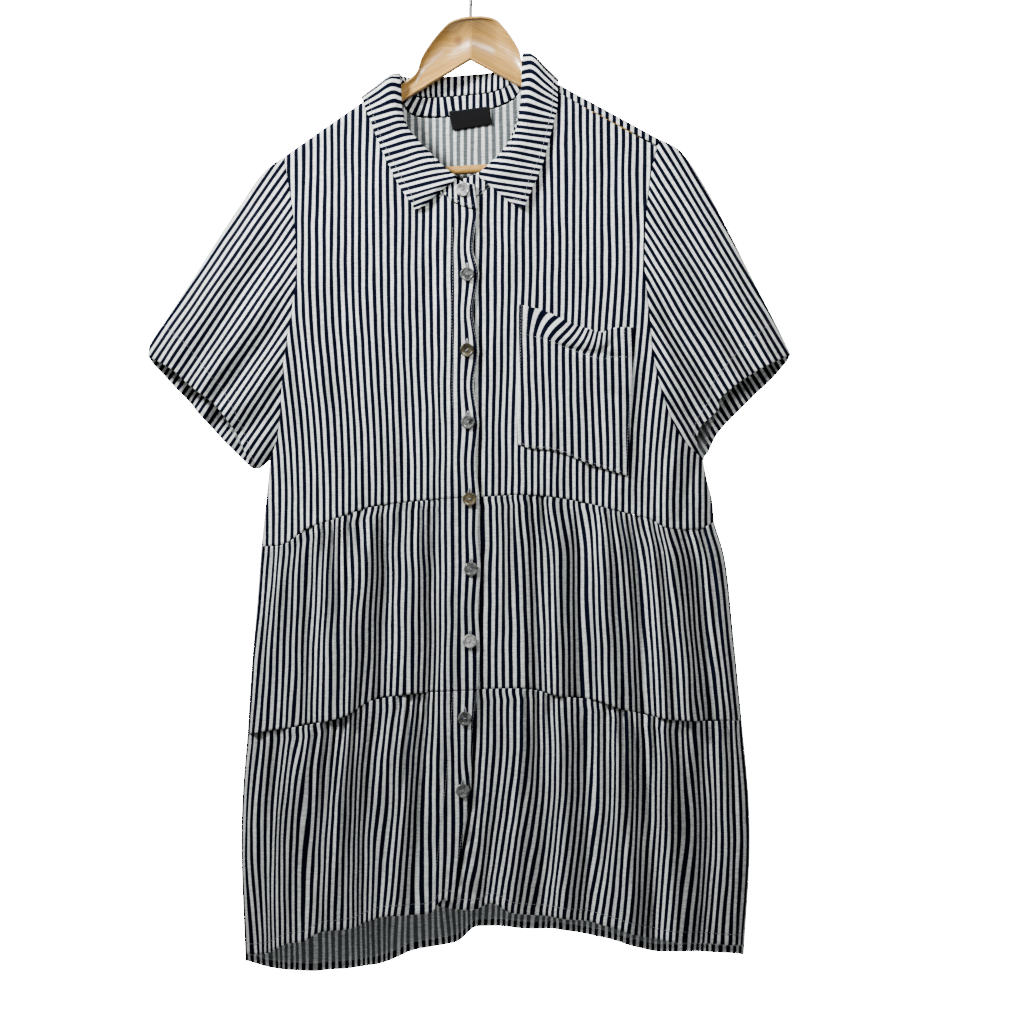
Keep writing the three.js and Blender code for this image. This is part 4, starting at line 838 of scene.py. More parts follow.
def folds(rows, waves, u, v, x, seed):
    hold = np.clip(np.minimum(u, 1 - u) / 0.03, 0, 1)
    phase = waves * u + 0.55 * np.sin(5.3 * math.pi * u) + 0.3 * np.sin(17 * u)
    reach = GATHER_FADE * (1 + 0.55 * noise(u * waves * 0.9, 0 * v, seed))
    high = 1 + 0.3 * noise(u * waves, 0 * v, seed + 1)
    out = GATHER_DEEP * high * np.cos(2 * math.pi * phase) * mix(0.35, 1, ease(v, 0, 0.06)) * np.exp(-v / reach)
    fine = phase * 2.3 + 0.8 * noise(u * waves * 0.7, 0 * v, seed + 2)
    out = out + 1.1 * np.cos(2 * math.pi * fine) * np.exp(-v / (0.09 + 0.04 * noise(u * waves, 0 * v, seed + 3)))
    for top, foot, out_by, wide in rows:
        bow = 4.0 * np.sin(v * 5 + top)
        at = mix(top, foot, v) + bow * v * (1 - v)
        out = out + FOLD_DEEP * out_by * np.exp(-((x - at) / (FOLD_BROAD * wide * (0.85 + 0.3 * v))) ** 2) * mix(0.2, 1, ease(v, 0, 0.3))
    return out * hold


TIER_ROWS = np.unique(np.round(np.r_[steps(14, 0, 0.1), steps(62, 0.1, 1)], 6))
HEM_AT = 1 - 8 / 225
LOWER_ROWS = np.unique(np.round(np.r_[TIER_ROWS, HEM_AT - 0.004, HEM_AT, HEM_AT + 0.004], 6))


def row_cloth(width, start, drop_from, us):
    """u runs along each row of the gathered cloth, so that every row has the same stripes."""
    def read(u, v, p):
        along = np.linalg.norm(np.diff(p, axis=0), axis=-1)
        s = np.concatenate([np.zeros((1, p.shape[1])), np.cumsum(along, 0)])
        s = s / s[-1]
        share = 0.4 * s + 0.6 * u
        x, drop = p[..., 0], -p[..., 2]
        drift = 3.3 * noise(x / 25, drop / 150, 501) + 1.3 * noise(x / 10, drop / 80, 502)
        drift = drift * ease(np.minimum(u, 1 - u), 0, 0.06)
        return np.stack([start + width * share + drift, drop_from - p[..., 2]], -1)
    return read


def hem_fold(x, v, seed):
    """The turned hem stands a little proud and ripples."""
    return 0.5 * ease(v, HEM_AT - 0.004, HEM_AT + 0.004) + 0.9 * noise(x / 21, 0 * v, seed + 9) * ease(v, 0.8, 1)


def tier(name, top, bottom, side, edge, rows, over, hem, turn, cut, start, seed, nodes):
    flat = patch(top, bottom, side, edge)
    if over:
        flat = banded(flat)

    def spot(u, v):
        xd = flat(u, v)
        gap = np.where(v == 0, GAP / 2, np.where((v >= 1) & (not hem), -GAP / 2, 0))
        return xd[..., 0], xd[..., 1] + gap

    def outer(u, v):
        x, drop = spot(u, v)
        clear = np.clip(np.abs(x - over_edge_at(drop)) / BAND_WIDTH - 0.9, 0, 1)
        fold = folds(rows, HALF_WAVES, u, v, x, seed) * clear
        rough = crumple(x, drop, seed + 5) * ease(np.minimum(u, 1 - u), 0, 0.05) * ease(v, 0, 0.05) * mix(0.3, 1, clear)
        fold = fold + rough * (1 if hem else 1 - ease(v, 0.96, 1))
        if hem:
            fold = fold + hem_fold(x, v, seed) * ease(u, 0, 0.03)
        if over:
            fold = fold + band_step(u) + band_pucker(x, drop)
            # Below the last button the band swings aside over its crumpled fellow.
            fold = fold - 1.2 * np.exp(-((x - over_edge_at(drop) + 24) / 5) ** 2) * ease(drop, 790, 860)
            return front_point(x, drop, fold, band_lift(x, drop))
        trough = np.exp(-((x - mix(27, 15, np.clip((drop - 790) / 110, 0, 1))) / 8) ** 2) * ease(drop, 745, 800)
        bump = 2.2 * noise(drop / 11, x / 12, seed + 11) * ease(drop, 785, 815) * (1 - ease(x, 8, 18))
        return front_point(x, drop, fold - 3.0 * trough + bump, 0)

    cloth = row_cloth(cut, start, -HOOK_RISE, None)

    def tier_cloth(u, v, p):
        uv = cloth(u, v, p)
        if over:
            x, drop = p[..., 0], -p[..., 2] - HOOK_RISE
            uv[..., 0] = mix(uv[..., 0], band_x(x, drop), ease(u, 0.72, BAND_FROM))
        return uv

    thick = (lambda u, v: np.where(u > BAND_FROM, 1.4, WALL)) if over else WALL
    us = columns(steps(168), [BAND_FROM, BAND_FROM + 0.0006, BAND_FROM + 0.0012, BAND_FROM + 0.003]) if over else steps(168)
    return Shell(name, us, LOWER_ROWS if hem else TIER_ROWS, outer, tier_cloth, turn=turn, keep=in_front,
                 thick=thick, edges=(("top", 2), ("bottom", 2), ("end", 0)),
                 face_inside=(lambda u, v: v >= HEM_AT) if hem else None, nodes=nodes)


tiers = {
    "upper_right": tier("tier_upper_right_cloth", waist_right, mid_right, upper_right, upper_over, FOLDS["upper_right"],
                        True, False, -1, 262, -258, 41, ["tier_upper_right"]),
    "upper_left": tier("tier_upper_left_cloth", waist_left, mid_left, upper_left, upper_under, FOLDS["upper_left"],
                       False, False, 1, -318, 298, 61, ["tier_upper_left"]),
    "lower_right": tier("tier_lower_right_cloth", mid_right, hem_right, lower_right, lower_over, FOLDS["lower_right"],
                        True, True, -1, 266, -263, 81, ["tier_lower_right"]),
    "lower_left": tier("tier_lower_left_cloth", mid_left, hem_left, lower_left, lower_under, FOLDS["lower_left"],
                       False, True, 1, -352, 330, 101, ["tier_lower_left"]),
}


def back_tier(name, top, bottom, first, last, hem, cut, start, seed, nodes):
    flat = patch(top, bottom, first, last)

    def outer(u, v):
        xd = flat(u, v)
        gap = np.where(v == 0, GAP / 2, np.where((v >= 1) & (not hem), -GAP / 2, 0))
        x, drop = xd[..., 0], xd[..., 1] + gap
        fold = folds(FOLDS["back"], BACK_WAVES, u, v, x, seed)
        rough = crumple(x, drop, seed + 5) * ease(np.minimum(u, 1 - u), 0, 0.05) * ease(v, 0, 0.05)
        fold = fold + rough * (1 if hem else 1 - ease(v, 0.96, 1))
        if hem:
            fold = fold + hem_fold(x, v, seed) * ease(np.minimum(u, 1 - u), 0, 0.02)
        return behind(place3(x, depth("back", x, drop) + fold, drop))

    return Shell(name, columns(steps(300)), LOWER_ROWS if hem else TIER_ROWS, outer,
                 row_cloth(cut, start, -HOOK_RISE, None), turn=1, keep=behind, edges=(("top", 2), ("bottom", 2)),
                 face_inside=(lambda u, v: v >= HEM_AT) if hem else None, nodes=nodes)


tiers["upper_back"] = back_tier("tier_upper_back_cloth", waist_back, mid_back, upper_right, upper_left, False,
                                560, -250, 121, ["tier_upper_back"])
tiers["lower_back"] = back_tier("tier_lower_back_cloth", mid_back, hem_back, lower_right_back, lower_left_back, True,
                                585, -262, 141, ["tier_lower_back"])

# Collar
FALL = np.array([
    [-1, -45, 193, 4.6, -49, 194.5, 5.4, -56, 197, 4.4], [-1, -36, 184, 5.0, -44, 187, 6.4, -58, 192, 4.4],
    [-1, -25, 175, 6.4, -38, 179, 8.0, -62, 186, 3.6], [-1, -14, 165, 7.6, -30, 169, 9.0, -68, 178, 3.0],
    [-1, -24, 155, 4.5, -38, 157, 7.5, -75, 166, 2.8], [-1, -38, 141, 2.8, -50, 143, 6.5, -81, 153, 2.8],
    [-1, -52, 126, 2.6, -62, 128, 6.0, -89, 136, 2.8], [-1, -64, 112, 2.6, -72, 113, 6.0, -95, 121, 2.8],
    [-1, -68, 98, 2.6, -76, 98, 6.0, -101, 105, 2.8], [-1, -69, 82, 2.6, -78, 80, 6.5, -106, 93, 3.0],
    [-1, -70, 65, 3.0, -81, 65, 5.5, -109, 84, 2.4], [0, -72, 57, 0, -81, 59, 0, -110, 81, 0],
    [1, -68, 61, 0.8, -78, 58, 5.0, -109, 84, 2.6], [1, -64, 71, -0.6, -68, 59, 6.5, -98, 98, 4.2],
    [1, -50, 80, -0.6, -53, 61, 6.5, -68, 108, 5.6], [1, -25, 79.5, -0.4, -25, 59, 7, -30, 110, 6.2],
    [1, 0, 77.5, -0.4, 0, 57, 7, 0, 109, 6.2], [1, 20, 75, -0.4, 21, 55, 7, 28, 106, 6.2],
    [1, 40, 67.5, -0.4, 40, 51, 6.5, 58, 98, 5.6], [1, 50, 53, 0.4, 55, 43, 6, 80, 82, 4.6],
    [1, 52.5, 41, 0.8, 60, 38, 4, 88, 67, 2.6], [0, 53, 36.5, 0, 62, 38, 0, 89, 63, 0],
    [-1, 52.5, 41, 3.0, 63, 42, 5.5, 88.5, 67, 2.4], [-1, 51.5, 60, 2.6, 62, 59, 6.5, 88, 79, 3.0],
    [-1, 51.5, 73, 2.6, 60, 73, 6.0, 88, 88, 2.8], [-1, 51, 86, 2.6, 59, 86, 6.0, 87, 97, 2.8],
    [-1, 48, 103, 2.6, 56, 104, 6.0, 84, 108, 2.8], [-1, 44, 120, 2.6, 53, 121, 6.0, 80, 124, 2.8],
    [-1, 32, 137, 2.8, 44, 138, 6.5, 75, 144, 2.8], [-1, 20, 150, 4.5, 34, 152, 7.5, 70, 158, 2.8],
    [-1, 9, 162, 7.6, 26, 165, 9.0, 65, 170, 3.0], [-1, 20, 173, 6.4, 32, 175, 8.0, 61, 179, 3.6],
    [-1, 33, 184, 5.0, 41, 185, 6.4, 57, 188, 4.4], [-1, 45, 193, 4.6, 48, 194, 5.4, 54, 195, 4.4]], float)
COLLAR_WALL = 1.4


def neck_depth(side, x, drop):
    front = np.maximum(depth("front", x, drop), RIDGE_HALF)
    back_side = np.maximum(depth("back", x, drop), RIDGE_HALF)
    return np.where(side < 0, front, back_side)


def stations(table, columns_at):
    """The three-dimensional points of one line of a table's stations."""
    x, drop, lift = (table[:, c] for c in columns_at)
    return np.stack([x, table[:, 0] * (neck_depth(table[:, 0], x, drop) + lift), drop], -1)


def smooth_rows(points, k):
    return np.stack([hermite(np.arange(len(points)), points[:, c], k) for c in range(3)], -1)


def fall_point(k, t):
    start, roll, end = (stations(FALL, c) for c in ((1, 2, 3), (4, 5, 6), (7, 8, 9)))
    s, r, e = (smooth_rows(p, k) for p in (start, roll, end))
    m = mix(r, e, np.array([0.5, 0.42, 0.5]))
    out = np.zeros(k.shape + (3,))
    ts = np.array([0, 0.25, 0.6, 1.0])
    rows = [s, r, m, e]
    j = np.clip(np.searchsorted(ts, t, side="left") - 1, 0, 2)
    for a in range(3):
        here = j == a
        lo, hi = max(a - 1, 0), min(a + 2, 3)
        span = ts[a + 1] - ts[a]
        q = ((t - ts[a]) / span)[..., None]
        s0 = (rows[a + 1] - rows[lo]) / (ts[a + 1] - ts[lo])
        s1 = (rows[hi] - rows[a]) / (ts[hi] - ts[a])
        value = ((1 + 2 * q) * (1 - q) ** 2 * rows[a] + q * (1 - q) ** 2 * span * s0
                 + q * q * (3 - 2 * q) * rows[a + 1] + q * q * (q - 1) * span * s1)
        out = np.where(here[..., None], value, out)
    side = np.clip(out[..., 1] / 6, -1, 1)
    soft = (0.45 * noise(k * 1.3, t * 3, 201) + 0.2 * noise(k * 4, t * 8, 202)) * ease(t, 0.05, 0.3)
    out[..., 1] += side * soft
    return place3(out[..., 0], out[..., 1], out[..., 2])


def fall_cloth(k, t, p):
    middle = p[:, p.shape[1] // 2]
    along = np.r_[0, np.cumsum(np.linalg.norm(np.diff(middle, axis=0), axis=-1))]
    across = np.concatenate([np.zeros((p.shape[0], 1)), np.cumsum(np.linalg.norm(np.diff(p, axis=1), axis=-1), 1)], 1)
    return np.stack([np.broadcast_to(along[:, None], t.shape), across], -1)


def rounded(thick, long_side):
    """A wall that thins to a rounded edge."""
    def read(u, v):
        end = np.minimum(1 - v, 1) * long_side
        return thick * (0.35 + 0.65 * np.sqrt(1 - (1 - np.clip(end / 1.2, 0, 1)) ** 2))
    return read


fall = Shell("collar_fall_cloth", steps((len(FALL) - 1) * 8, 0, len(FALL) - 1),
             np.unique(np.round(np.r_[steps(30), 0.97, 0.985], 6)), fall_point, fall_cloth, turn=1,
             thick=rounded(COLLAR_WALL, 40), mats=[FACE, FACE], nodes=["collar_fall"])

STAND = np.array([
    [-1, 8, 198, 4.3, 4, 171, 4.3], [-1, -8, 194, 4.3, -9, 168, 4.3], [-1, -20, 187, 4.2, -20, 161, 4.2],
    [-1, -29, 180, 2.6, -28, 153, 2.4], [-1, -38, 173, 0.8, -35, 146, 0.4], [-1, -49, 161, 0, -44, 137, 0],
    [-1, -58, 148, 0, -51, 128, 0], [-1, -66, 134, 0, -58, 120, 0], [-1, -71, 118, 0, -63, 111, 0],
    [-1, -76, 90, 0, -68, 93, 0], [-1, -77, 76, 0, -69, 78, 0], [-1, -77, 69, -1.4, -70, 64, 0],
    [0, -77, 66, 0, -71, 60, 0], [1, -76.5, 68, -1.4, -70, 62, 0], [1, -72, 82, 0, -65, 72, 0],
    [1, -66, 91, 0, -58, 78, 0], [1, -59, 99, 0, -50, 81, 0], [1, -41, 101, 0, -38, 81, 0],
    [1, -22, 101, 0, -25, 80.5, 0], [1, 0, 97, 0, 0, 78.5, 0], [1, 21, 93, 0, 20, 76, 0], [1, 33, 88, 0, 30, 73, 0],
    [1, 45, 82, 0, 39, 69, 0], [1, 52, 72, 0, 46, 63, 0], [1, 55, 62, 0, 50, 56.5, 0],
    [1, 55.4, 48, -1.6, 52.5, 43, 0], [0, 55.6, 43, 0, 53, 38.5, 0], [-1, 55.4, 48, -1.6, 52.5, 43, 0],
    [-1, 57, 64, 0, 51.5, 60, 0], [-1, 56, 85, 0, 50, 86, 0], [-1, 52, 112, 0, 46, 106, 0],
    [-1, 48, 127, 0, 42, 118, 0], [-1, 43, 140, 0, 37, 129, 0], [-1, 37, 152, 0, 31, 137, 0],
    [-1, 29, 162, 0, 25, 143, 0], [-1, 9, 182, 0, 9, 158, 0], [-1, -16, 192, 0, -14, 168, 0]], float)


def stand_point(k, t):
    low, high = (smooth_rows(stations(STAND, c), k) for c in ((1, 2, 3), (4, 5, 6)))
    length = np.linalg.norm(high - low, axis=-1)
    share = mix(1.2 / length, 1 - 0.5 / length, t)[..., None]
    out = mix(low, high, share)
    return place3(out[..., 0], out[..., 1], out[..., 2])


stand = Shell("collar_stand_cloth", steps((len(STAND) - 1) * 6, 0, len(STAND) - 1), steps(12), stand_point, fall_cloth,
              turn=-1, thick=1.3, mats=[FACE, FACE], nodes=["collar_stand"])

# Chest pocket, laid on the left front
pocket_patch = patch(
    line([[49, 292], [75, 299], [105, 312], [132, 320], [142, 316], [163, 315]]),
    line([[47, 432], [59, 436], [86, 439], [112, 449], [135, 457], [158, 464]]),
    line([[49, 292], [47, 432]]), line([[163, 315], [162, 388], [158, 464]]))
POCKET_HEM = 0.19
CREASES_POCKET = [(98, 341, 150, 392, -3.2, 4.5), (110, 338, 162, 386, 1.6, 5), (88, 333, 150, 345, -4.2, 2.4),
                  (80, 321, 150, 334, 2.2, 5), (116, 350, 112, 440, 1.4, 8), (128, 342, 146, 326, -2.4, 3),
                  (70, 320, 76, 430, -1.0, 9), (140, 350, 148, 452, 1.2, 8), (60, 400, 150, 430, 0.7, 9)]


def pocket_point(u, v):
    xd = pocket_patch(u, v)
    x, drop = xd[..., 0], xd[..., 1]
    puff = 3 * (1 - ease(v, 0, 0.7)) * np.sin(math.pi * u) ** 2
    hem = 0.6 * (1 - ease(v, POCKET_HEM - 0.006, POCKET_HEM + 0.006))
    inside = ease(np.minimum(u, 1 - u), 0, 0.12) * (1 - ease(v, 0.9, 1))
    soft = (creased(CREASES_POCKET, x, drop) + 0.8 * crumple(x, drop, 301)) * inside
    under = (CREASE_DEEP * creased(CREASES_FRONT, x, drop) + crumple(x, drop, 7)) * ease(v, 0.1, 0.4)
    stand_off = mix(1.15, 2.2, ease(np.minimum(u, 1 - u), 0, 0.1))
    lift = stand_off + puff + hem + np.maximum(soft, 0.9 - stand_off - puff) + np.maximum(under, 0)
    return place3(x, -depth("front", x, drop) - lift, drop)


def pocket_cloth(u, v, p):
    """The sagging hem pulls its stripes over to the side."""
    above = np.clip(POCKET_HEM - v, 0, 1) * 150
    lean = 0.62 * above * np.sin(math.pi * np.clip(u / 0.86, 0, 1)) ** 1.5
    return np.stack([p[..., 0] * 1.02 + 2.4 + 0.02 * p[..., 2] - lean, -p[..., 2]], -1)


pocket = Shell("chest_pocket_cloth", steps(60), np.unique(np.r_[steps(70), POCKET_HEM - 0.006, POCKET_HEM + 0.006]),
               pocket_point, pocket_cloth,
               turn=-1, thick=0.8, nodes=["chest_pocket"])

# Blank label inside the neck
label_patch = patch(line([[-22, 95], [19, 90]]), line([[-18, 114.5], [22, 108]]),
                    line([[-22, 95], [-18, 114.5]]), line([[19, 90], [22, 108]]))


def label_point(u, v):
    xd = label_patch(u, v)
    x, drop = xd[..., 0], xd[..., 1]
    curl = 0.25 * np.sin(5 * u) * v + 0.2 * noise(u * 3, v * 2, 401)
    return place3(x, depth("back", x, drop) - 2.6 - np.abs(curl), drop)


label = Shell("neck_label_cloth", steps(30), steps(16), label_point,
              lambda u, v, p: np.stack([p[..., 0], -p[..., 2]], -1), turn=-1, thick=0.5, mats=[LABEL, LABEL],
              nodes=["neck_label"], slot="label_cloth")


# Sewing threads: short stitches lying on a line of the cloth
def stitches(name, runs, colour, long=2.1, gap=0.9, wide=0.42, high=0.3, lift=0.08):
    verts, quads = [], []
    for points, normals in runs:
        along = np.r_[0, np.cumsum(np.linalg.norm(np.diff(points, axis=0), axis=1))]
        for s in np.arange(0.4, along[-1] - long, long + gap):
            p = [np.array([np.interp(s + d * long, along, points[:, c]) for c in range(3)]) for d in (0, 0.5, 1)]
            n = np.array([np.interp(s + 0.5 * long, along, normals[:, c]) for c in range(3)])
            n /= np.linalg.norm(n)
            d = p[2] - p[0]
            d /= np.linalg.norm(d)
            side = np.cross(d, n)
            base = len(verts)
            for q, w, h in ((p[0], 0.5, 0.1), (p[1], 1, 1), (p[2], 0.5, 0.1)):
                centre = q + n * lift
                verts += [centre - side * wide / 2 * w - n * 0.12, centre - side * wide / 3 * w + n * high * h,
                          centre + side * wide / 3 * w + n * high * h, centre + side * wide / 2 * w - n * 0.12]
            for r in (0, 4):
                for e in range(4):
                    a, b = base + r + e, base + r + (e + 1) % 4
                    quads.append([a, a + 4, b + 4, b])
            quads += [[base, base + 1, base + 2, base + 3], [base + 11, base + 10, base + 9, base + 8]]
    piece = mesh_piece(name, np.array(verts) * MM, quads, 0, [colour])
    return piece


def run(shell, us, vs):
    return shell.at(np.asarray(us, float), np.asarray(vs, float))


def band_run(shell, offset, vs):
    """A line at a fixed distance from the placket's free edge."""
    return run(shell, np.full(len(vs), 1 - (1 - BAND_FROM) * offset / BAND_WIDTH), vs)


fine = steps(150)
over_shells = [(right, steps(110, 0.36, 0.998)), (tiers["upper_right"], steps(70, 0.004, 0.996)),
               (tiers["lower_right"], steps(70, 0.004, 0.998))]
stitches("placket_stitches", [band_run(s, off, vs) for s, vs in over_shells for off in (BAND_WIDTH - 3.2, 1.8)],
         THREAD)
hem_v = HEM_AT - 0.012
stitches("hem_stitches_front", [run(tiers[k], fine * 0.99 + 0.005, np.full(fine.shape, hem_v))
                                for k in ("lower_right", "lower_left")], THREAD)
stitches("hem_stitches_back", [run(tiers["lower_back"], steps(300), np.full(301, hem_v))], THREAD)
for side in ("right", "left"):
    ks = np.r_[steps(240, 0, ring[-1])]
    stitches(f"cuff_stitches_{side}", [run(sleeves[side], ks, np.full(ks.shape, CUFF_FROM + 0.012))], THREAD)
last = len(FALL) - 1
stitches("collar_stitches", [
    run(fall, steps(500, 0.9, last - 0.9), np.full(501, 0.86)),
    run(fall, np.full(40, 0.9), steps(39, 0.3, 0.86)), run(fall, np.full(40, last - 0.9), steps(39, 0.3, 0.86))], THREAD)
pv = steps(90)
stitches("pocket_stitches", [
    run(pocket, steps(80, 0.01, 0.99), np.full(81, POCKET_HEM + 0.012)), run(pocket, np.full(91, 0.02), pv * 0.97),
    run(pocket, np.full(91, 0.98), pv * 0.97), run(pocket, steps(80, 0.02, 0.98), np.full(81, 0.985)),
    run(pocket, np.full(30, 0.07), steps(29, 0.0, POCKET_HEM)), run(pocket, np.full(30, 0.93), steps(29, 0.0, POCKET_HEM))],
    THREAD)
stitches("neckband_stitches", [run(stand, steps(500, 0.2, len(STAND) - 1.2), np.full(501, 0.12))], THREAD)
stitches("label_stitches", [run(label, steps(30, 0.02, 0.98), np.full(31, 0.05))], THREAD_DARK_AND_HOLE_SHADE, long=1.6, gap=0.6)


# Buttons
def lathe(profile, sides, place, squash=None):
    """A closed turned body: profile is (radius, height) from axis to axis."""
    angles = np.linspace(0, 2 * math.pi, sides, endpoint=False)
    verts, quads = [], []
    for r, h in profile:
        for a in angles:
            verts.append((r * math.cos(a), r * math.sin(a), h))
    for i in range(len(profile) - 1):
        for j in range(sides):
            n = (j + 1) % sides
            quads.append([i * sides + j, i * sides + n, (i + 1) * sides + n, (i + 1) * sides + j])
    return place(np.array(verts)), quads


def joined(parts):
    verts, quads, base = [], [], 0
    for v, q in parts:
        verts.append(v)
        quads += [[k + base for k in face] for face in q]
        base += len(v)
    return np.concatenate(verts), quads


def tube(path, radius, sides=8):
    path = np.asarray(path, float)
    tangent = np.gradient(path, axis=0)
    tangent /= np.linalg.norm(tangent, axis=1, keepdims=True)
    side = np.cross(tangent, [0.13, 0.97, 0.2])
    side /= np.linalg.norm(side, axis=1, keepdims=True)
    up = np.cross(side, tangent)
    radius = np.broadcast_to(radius, len(path))
    verts = [p + r * (math.cos(a) * s + math.sin(a) * q) for p, s, q, r in zip(path, side, up, radius)
             for a in np.linspace(0, 2 * math.pi, sides, endpoint=False)]
    quads = [[i * sides + j, i * sides + (j + 1) % sides, (i + 1) * sides + (j + 1) % sides, (i + 1) * sides + j]
             for i in range(len(path) - 1) for j in range(sides)]
    m = (len(path) - 1) * sides
    for j in range(1, sides // 2):
        quads.append([j - 1, j, sides - j - 1, sides - j])
        quads.append([m + sides - j, m + sides - j - 1, m + j, m + j - 1])
    return np.array(verts), quads


BUTTONS = [(-7.5, 177, "white"), (-3, 262, "grey"), (-3, 338, "olive"), (-2, 410, "grey"), (-0.5, 487, "bronze"),
           (1, 557, "grey"), (0, 629, "white"), (-5, 706, "grey"), (-7, 778, "grey")]
for k, (x, drop, look) in enumerate(BUTTONS):
    lift = 4.3 if k == 0 else BAND_LIFT + 0.9
    x_, d_ = np.array([x, x]), np.array([drop - 7.0, drop + 7.0])
    reach = depth("front", x_, d_)
    tip = math.atan2(reach[1] - reach[0], 14.0)
    centre = np.array([x, -(float(depth("front", np.array(x), np.array(drop))) + lift + 0.55), -HOOK_RISE - drop])
    turn = [0.4, -0.9, 0.7, 1.4, 0.2, -0.5, 1.0, 0.3, -1.2][k]
    across = np.array([math.cos(turn), 0, math.sin(turn)])
    outward = np.array([0, -math.cos(tip), math.sin(tip)])
    across = across - outward * across.dot(outward)
    across /= np.linalg.norm(across)
    along = np.cross(outward, across)
    place = lambda v: centre + v[:, :1] * across + v[:, 1:2] * along + v[:, 2:] * outward
    profile = [(0.02, 0), (4.5, 0), (6.3, 0.25), (6.9, 0.8), (7.0, 1.3), (6.85, 1.8), (6.45, 2.12), (5.9, 2.15),
               (5.3, 1.95), (4.8, 1.66), (4.2, 1.5), (2.5, 1.44), (0.02, 1.42)]
    body = mesh_piece(f"button_{k + 1}_shell", lathe(profile, 48, place)[0] * MM, lathe(profile, 48, place)[1], 0,
                      [SHELLS[look]])
    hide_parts(f"button_{k + 1}")
    # Two holes with the sewing thread between them; each hole is a dark disc on the face, painted shade for its depth
    parts = []
    for s in (-1.35, 1.35):
        cup = [(0.02, 1.50), (0.55, 1.50), (0.8, 1.47), (0.95, 1.40)]
        parts.append(lathe(cup, 16, lambda v, s=s: place(v + np.array([s, 0, 0]))))
    holes = mesh_piece(f"button_{k + 1}_holes", joined(parts)[0] * MM, joined(parts)[1], 0, [THREAD_DARK_AND_HOLE_SHADE])
    strands = []
    for offset in (-0.28, 0.05, 0.34):
        t = np.linspace(-1, 1, 9)
        path = np.stack([1.35 * t, np.full(9, offset), 1.62 + 0.42 * (1 - t ** 2)], -1)
        strands.append(tube(place(path), 0.17, 6))
    thread = mesh_piece(f"button_{k + 1}_thread", joined(strands)[0] * MM, joined(strands)[1], 0, [THREAD])
    # Worked buttonhole, of which the end shows above the button
    if k:
        ringed = []
        t = np.linspace(0, 2 * math.pi, 25)
        hx, hd = x + 1.25 * np.cos(t), drop - 3.0 + 8.0 * np.sin(t)
        y = -depth("front", hx, hd) - lift - 0.1
        ringed.append(tube(place3(hx, y, hd), 0.55, 6))
        worked = mesh_piece(f"buttonhole_{k + 1}", joined(ringed)[0] * MM, joined(ringed)[1], 0, [THREAD])
        # The slit is a thin dark loop: painted shade of the opening.
        hx, hd = x + 0.35 * np.cos(t), drop - 3.0 + 7.2 * np.sin(t)
        y = -depth("front", hx, hd) - lift - 0.02
        slit = mesh_piece(f"buttonhole_{k + 1}_slit", tube(place3(hx, y, hd), 0.3, 6)[0] * MM,
                          tube(place3(hx, y, hd), 0.3, 6)[1], 0, [THREAD_DARK_AND_HOLE_SHADE])


# Hanger
APEX = 44.0
ARM = np.array([[0, -44, 0], [12, -43.2, 7], [24, -39, 14], [33, -30, 19], [40, -21, 23], [46, -12, 27], [50, -4, 29],
                [53, 8, 30.5], [64, 18, 37], [75, 26, 43.5], [90, 37.5, 53], [104, 47, 62], [150, 71, 90],
                [172, 86, 105], [188, 97, 123], [196, 103, 123], [199, 109, 117]], float)


def tilted(out, down):
    return out - down * TILT, APEX + down - out * TILT


def hanger_arch():
    outs = np.unique(np.r_[np.linspace(0, 60, 49), np.linspace(60, 196, 46), np.linspace(196, 199, 7)])
    outs = np.r_[-outs[1:][::-1], outs]
    top = hermite(ARM[:, 0], ARM[:, 1], np.abs(outs))
    under = hermite(ARM[:, 0], ARM[:, 2], np.abs(outs))
    round_ = [(math.cos(a), math.sin(a)) for a in np.linspace(0, math.pi / 2, 6)]
    half_y, soft = 5.5, 2.6
    verts, sides = [], 0
    for out, t, b in zip(outs, top, under):
        r = min(soft, (b - t) / 2)
        section = []
        for sy, sz in ((1, -1), (-1, -1), (-1, 1), (1, 1)):
            arc = round_ if sy * sz > 0 else round_[::-1]
            for cy, cz in arc:
                y = sy * (half_y - r + r * cy)
                down = (t + r - r * cz) if sz < 0 else (b - r + r * cz)
                section.append((y, down))
        sides = len(section)
        for y, down in section:
            x, drop = tilted(out, down)
            verts.append((x, y, -HOOK_RISE - drop))
    quads = [[i * sides + j, (i + 1) * sides + j, (i + 1) * sides + (j + 1) % sides, i * sides + (j + 1) % sides]
             for i in range(len(outs) - 1) for j in range(sides)]
    m = (len(outs) - 1) * sides
    for j in range(1, sides // 2):
        quads.append([j - 1, j, sides - j - 1, sides - j])
        quads.append([m + sides - j, m + sides - j - 1, m + j, m + j - 1])
    return np.array(verts), quads


v, q = hanger_arch()
arch = mesh_piece("hanger_arch_wood", v * MM, q, 0, [WOOD])
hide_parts("hanger_arch")
ends = [tilted(0, 111)]
bar_x, bar_drop = ends[0]
t = np.linspace(-178, 178, 61)
path = np.stack([bar_x + t * math.cos(math.atan(TILT)), np.zeros(61), -HOOK_RISE - bar_drop + t * math.sin(math.atan(TILT))], -1)
v, q = tube(path, 4.5, 28)
bar = mesh_piece("hanger_bar_wood", v * MM, q, 0, [WOOD])
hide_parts("hanger_bar")
angles = np.radians(np.arange(205, -51, -5))
points = [(0, 0, -90), (0, 0, -80), (0, 0, -70), (0, 0, -58), (-5, 0, -46)] + [
    (21 * math.cos(a), 0, -19 + 21 * math.sin(a)) for a in angles]
points = np.array(points, float)
at = np.r_[0, np.cumsum(np.linalg.norm(np.diff(points, axis=0), axis=1))]
dense = np.linspace(0, at[-1], 200)
path = np.stack([hermite(at, points[:, c], dense) for c in range(3)], -1)
radius = 2.0 * np.sqrt(np.clip(1 - (1 - np.clip((at[-1] - dense) / 1.6, 0.06, 1)) ** 2, 0.05, 1))
v, q = tube(path, radius, 16)
hook = mesh_piece("hanger_hook_wire", v * MM, q, 0, [STEEL])
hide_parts("hanger_hook")

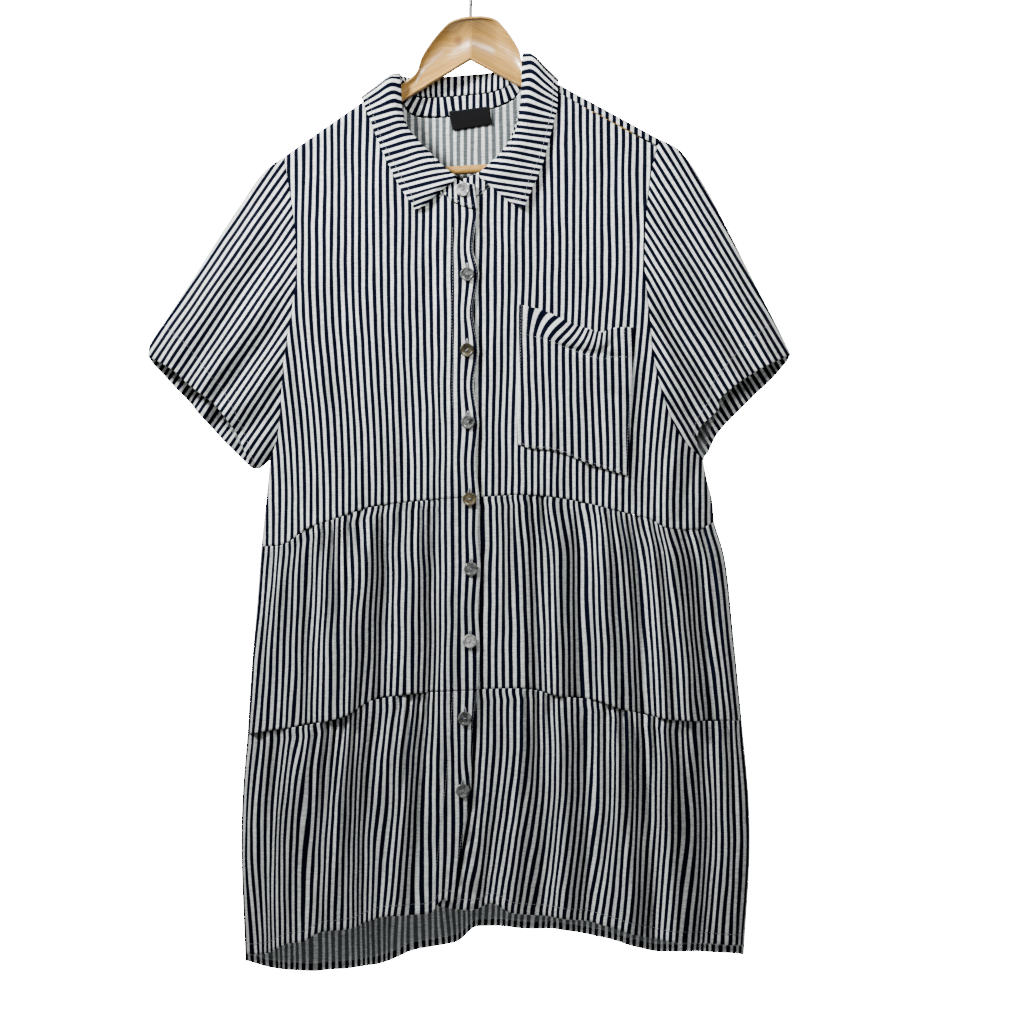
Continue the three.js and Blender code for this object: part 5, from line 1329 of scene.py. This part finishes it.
# Stage, lights and camera
def stage_plane(name, corners, colour):
    m, nodes, links, shader = material(name)
    shader.inputs["Base Color"].default_value = (*colour, 1)
    shader.inputs["Roughness"].default_value = 0.95
    shader.inputs["Emission Color"].default_value = (*colour, 1)
    shader.inputs["Emission Strength"].default_value = 0.5
    mesh = bpy.data.meshes.new(name)
    mesh.from_pydata(corners, [], [(0, 1, 2, 3)])
    mesh.materials.append(m)
    obj = bpy.data.objects.new(name, mesh)
    bpy.context.scene.collection.objects.link(obj)
    return obj


stage_plane("floor", [(-1.3, -1.3, -1.5), (1.3, -1.3, -1.5), (1.3, 1.3, -1.5), (-1.3, 1.3, -1.5)], (0.9, 0.9, 0.9))


def area_light(name, place, aim, size, power, spread=180):
    data = bpy.data.lights.new(name, "AREA")
    data.shape = "RECTANGLE"
    data.size, data.size_y = size
    data.energy = power
    data.spread = math.radians(spread)
    obj = bpy.data.objects.new(name, data)
    bpy.context.scene.collection.objects.link(obj)
    obj.location = place
    obj.rotation_euler = (Vector(aim) - Vector(place)).to_track_quat("-Z", "Y").to_euler()


area_light("key", (-0.95, -0.72, 0.4), (0.05, 0, -0.12), (0.3, 0.25), 24, 88)
area_light("fill", (0.55, -1.1, 0.5), (0, 0, -0.12), (0.6, 0.4), 6, 88)
area_light("rear", (0.9, 0.8, 0.45), (0, 0, -0.2), (0.5, 0.5), 26)
area_light("rear_side", (-0.6, 1.0, 0.4), (0, 0, -0.3), (0.5, 0.5), 10)
# A white studio: bright to the camera, and a soft low light on the cloth
world = bpy.data.worlds.new("studio")
world.use_nodes = True
nodes, links = world.node_tree.nodes, world.node_tree.links
soft_light = nodes["Background"]
soft_light.inputs[0].default_value = (1, 1, 1, 1)
soft_light.inputs[1].default_value = 0.12
seen = nodes.new("ShaderNodeBackground")
seen.inputs[0].default_value = (1, 1, 1, 1)
seen.inputs[1].default_value = 40
ray = nodes.new("ShaderNodeLightPath")
both = nodes.new("ShaderNodeMixShader")
links.new(ray.outputs["Is Camera Ray"], both.inputs[0])
links.new(soft_light.outputs[0], both.inputs[1])
links.new(seen.outputs[0], both.inputs[2])
links.new(both.outputs[0], nodes["World Output"].inputs[0])
bpy.context.scene.world = world
camera_data = bpy.data.cameras.new("camera")
camera_data.sensor_width = 36
camera_data.lens = 123.5
camera_data.clip_end = 60
camera = bpy.data.objects.new("camera", camera_data)
camera.location = (0.040, -3.53, -0.576)
camera.rotation_euler = (math.pi / 2, 0, 0)
bpy.context.scene.collection.objects.link(camera)
bpy.context.scene.camera = camera
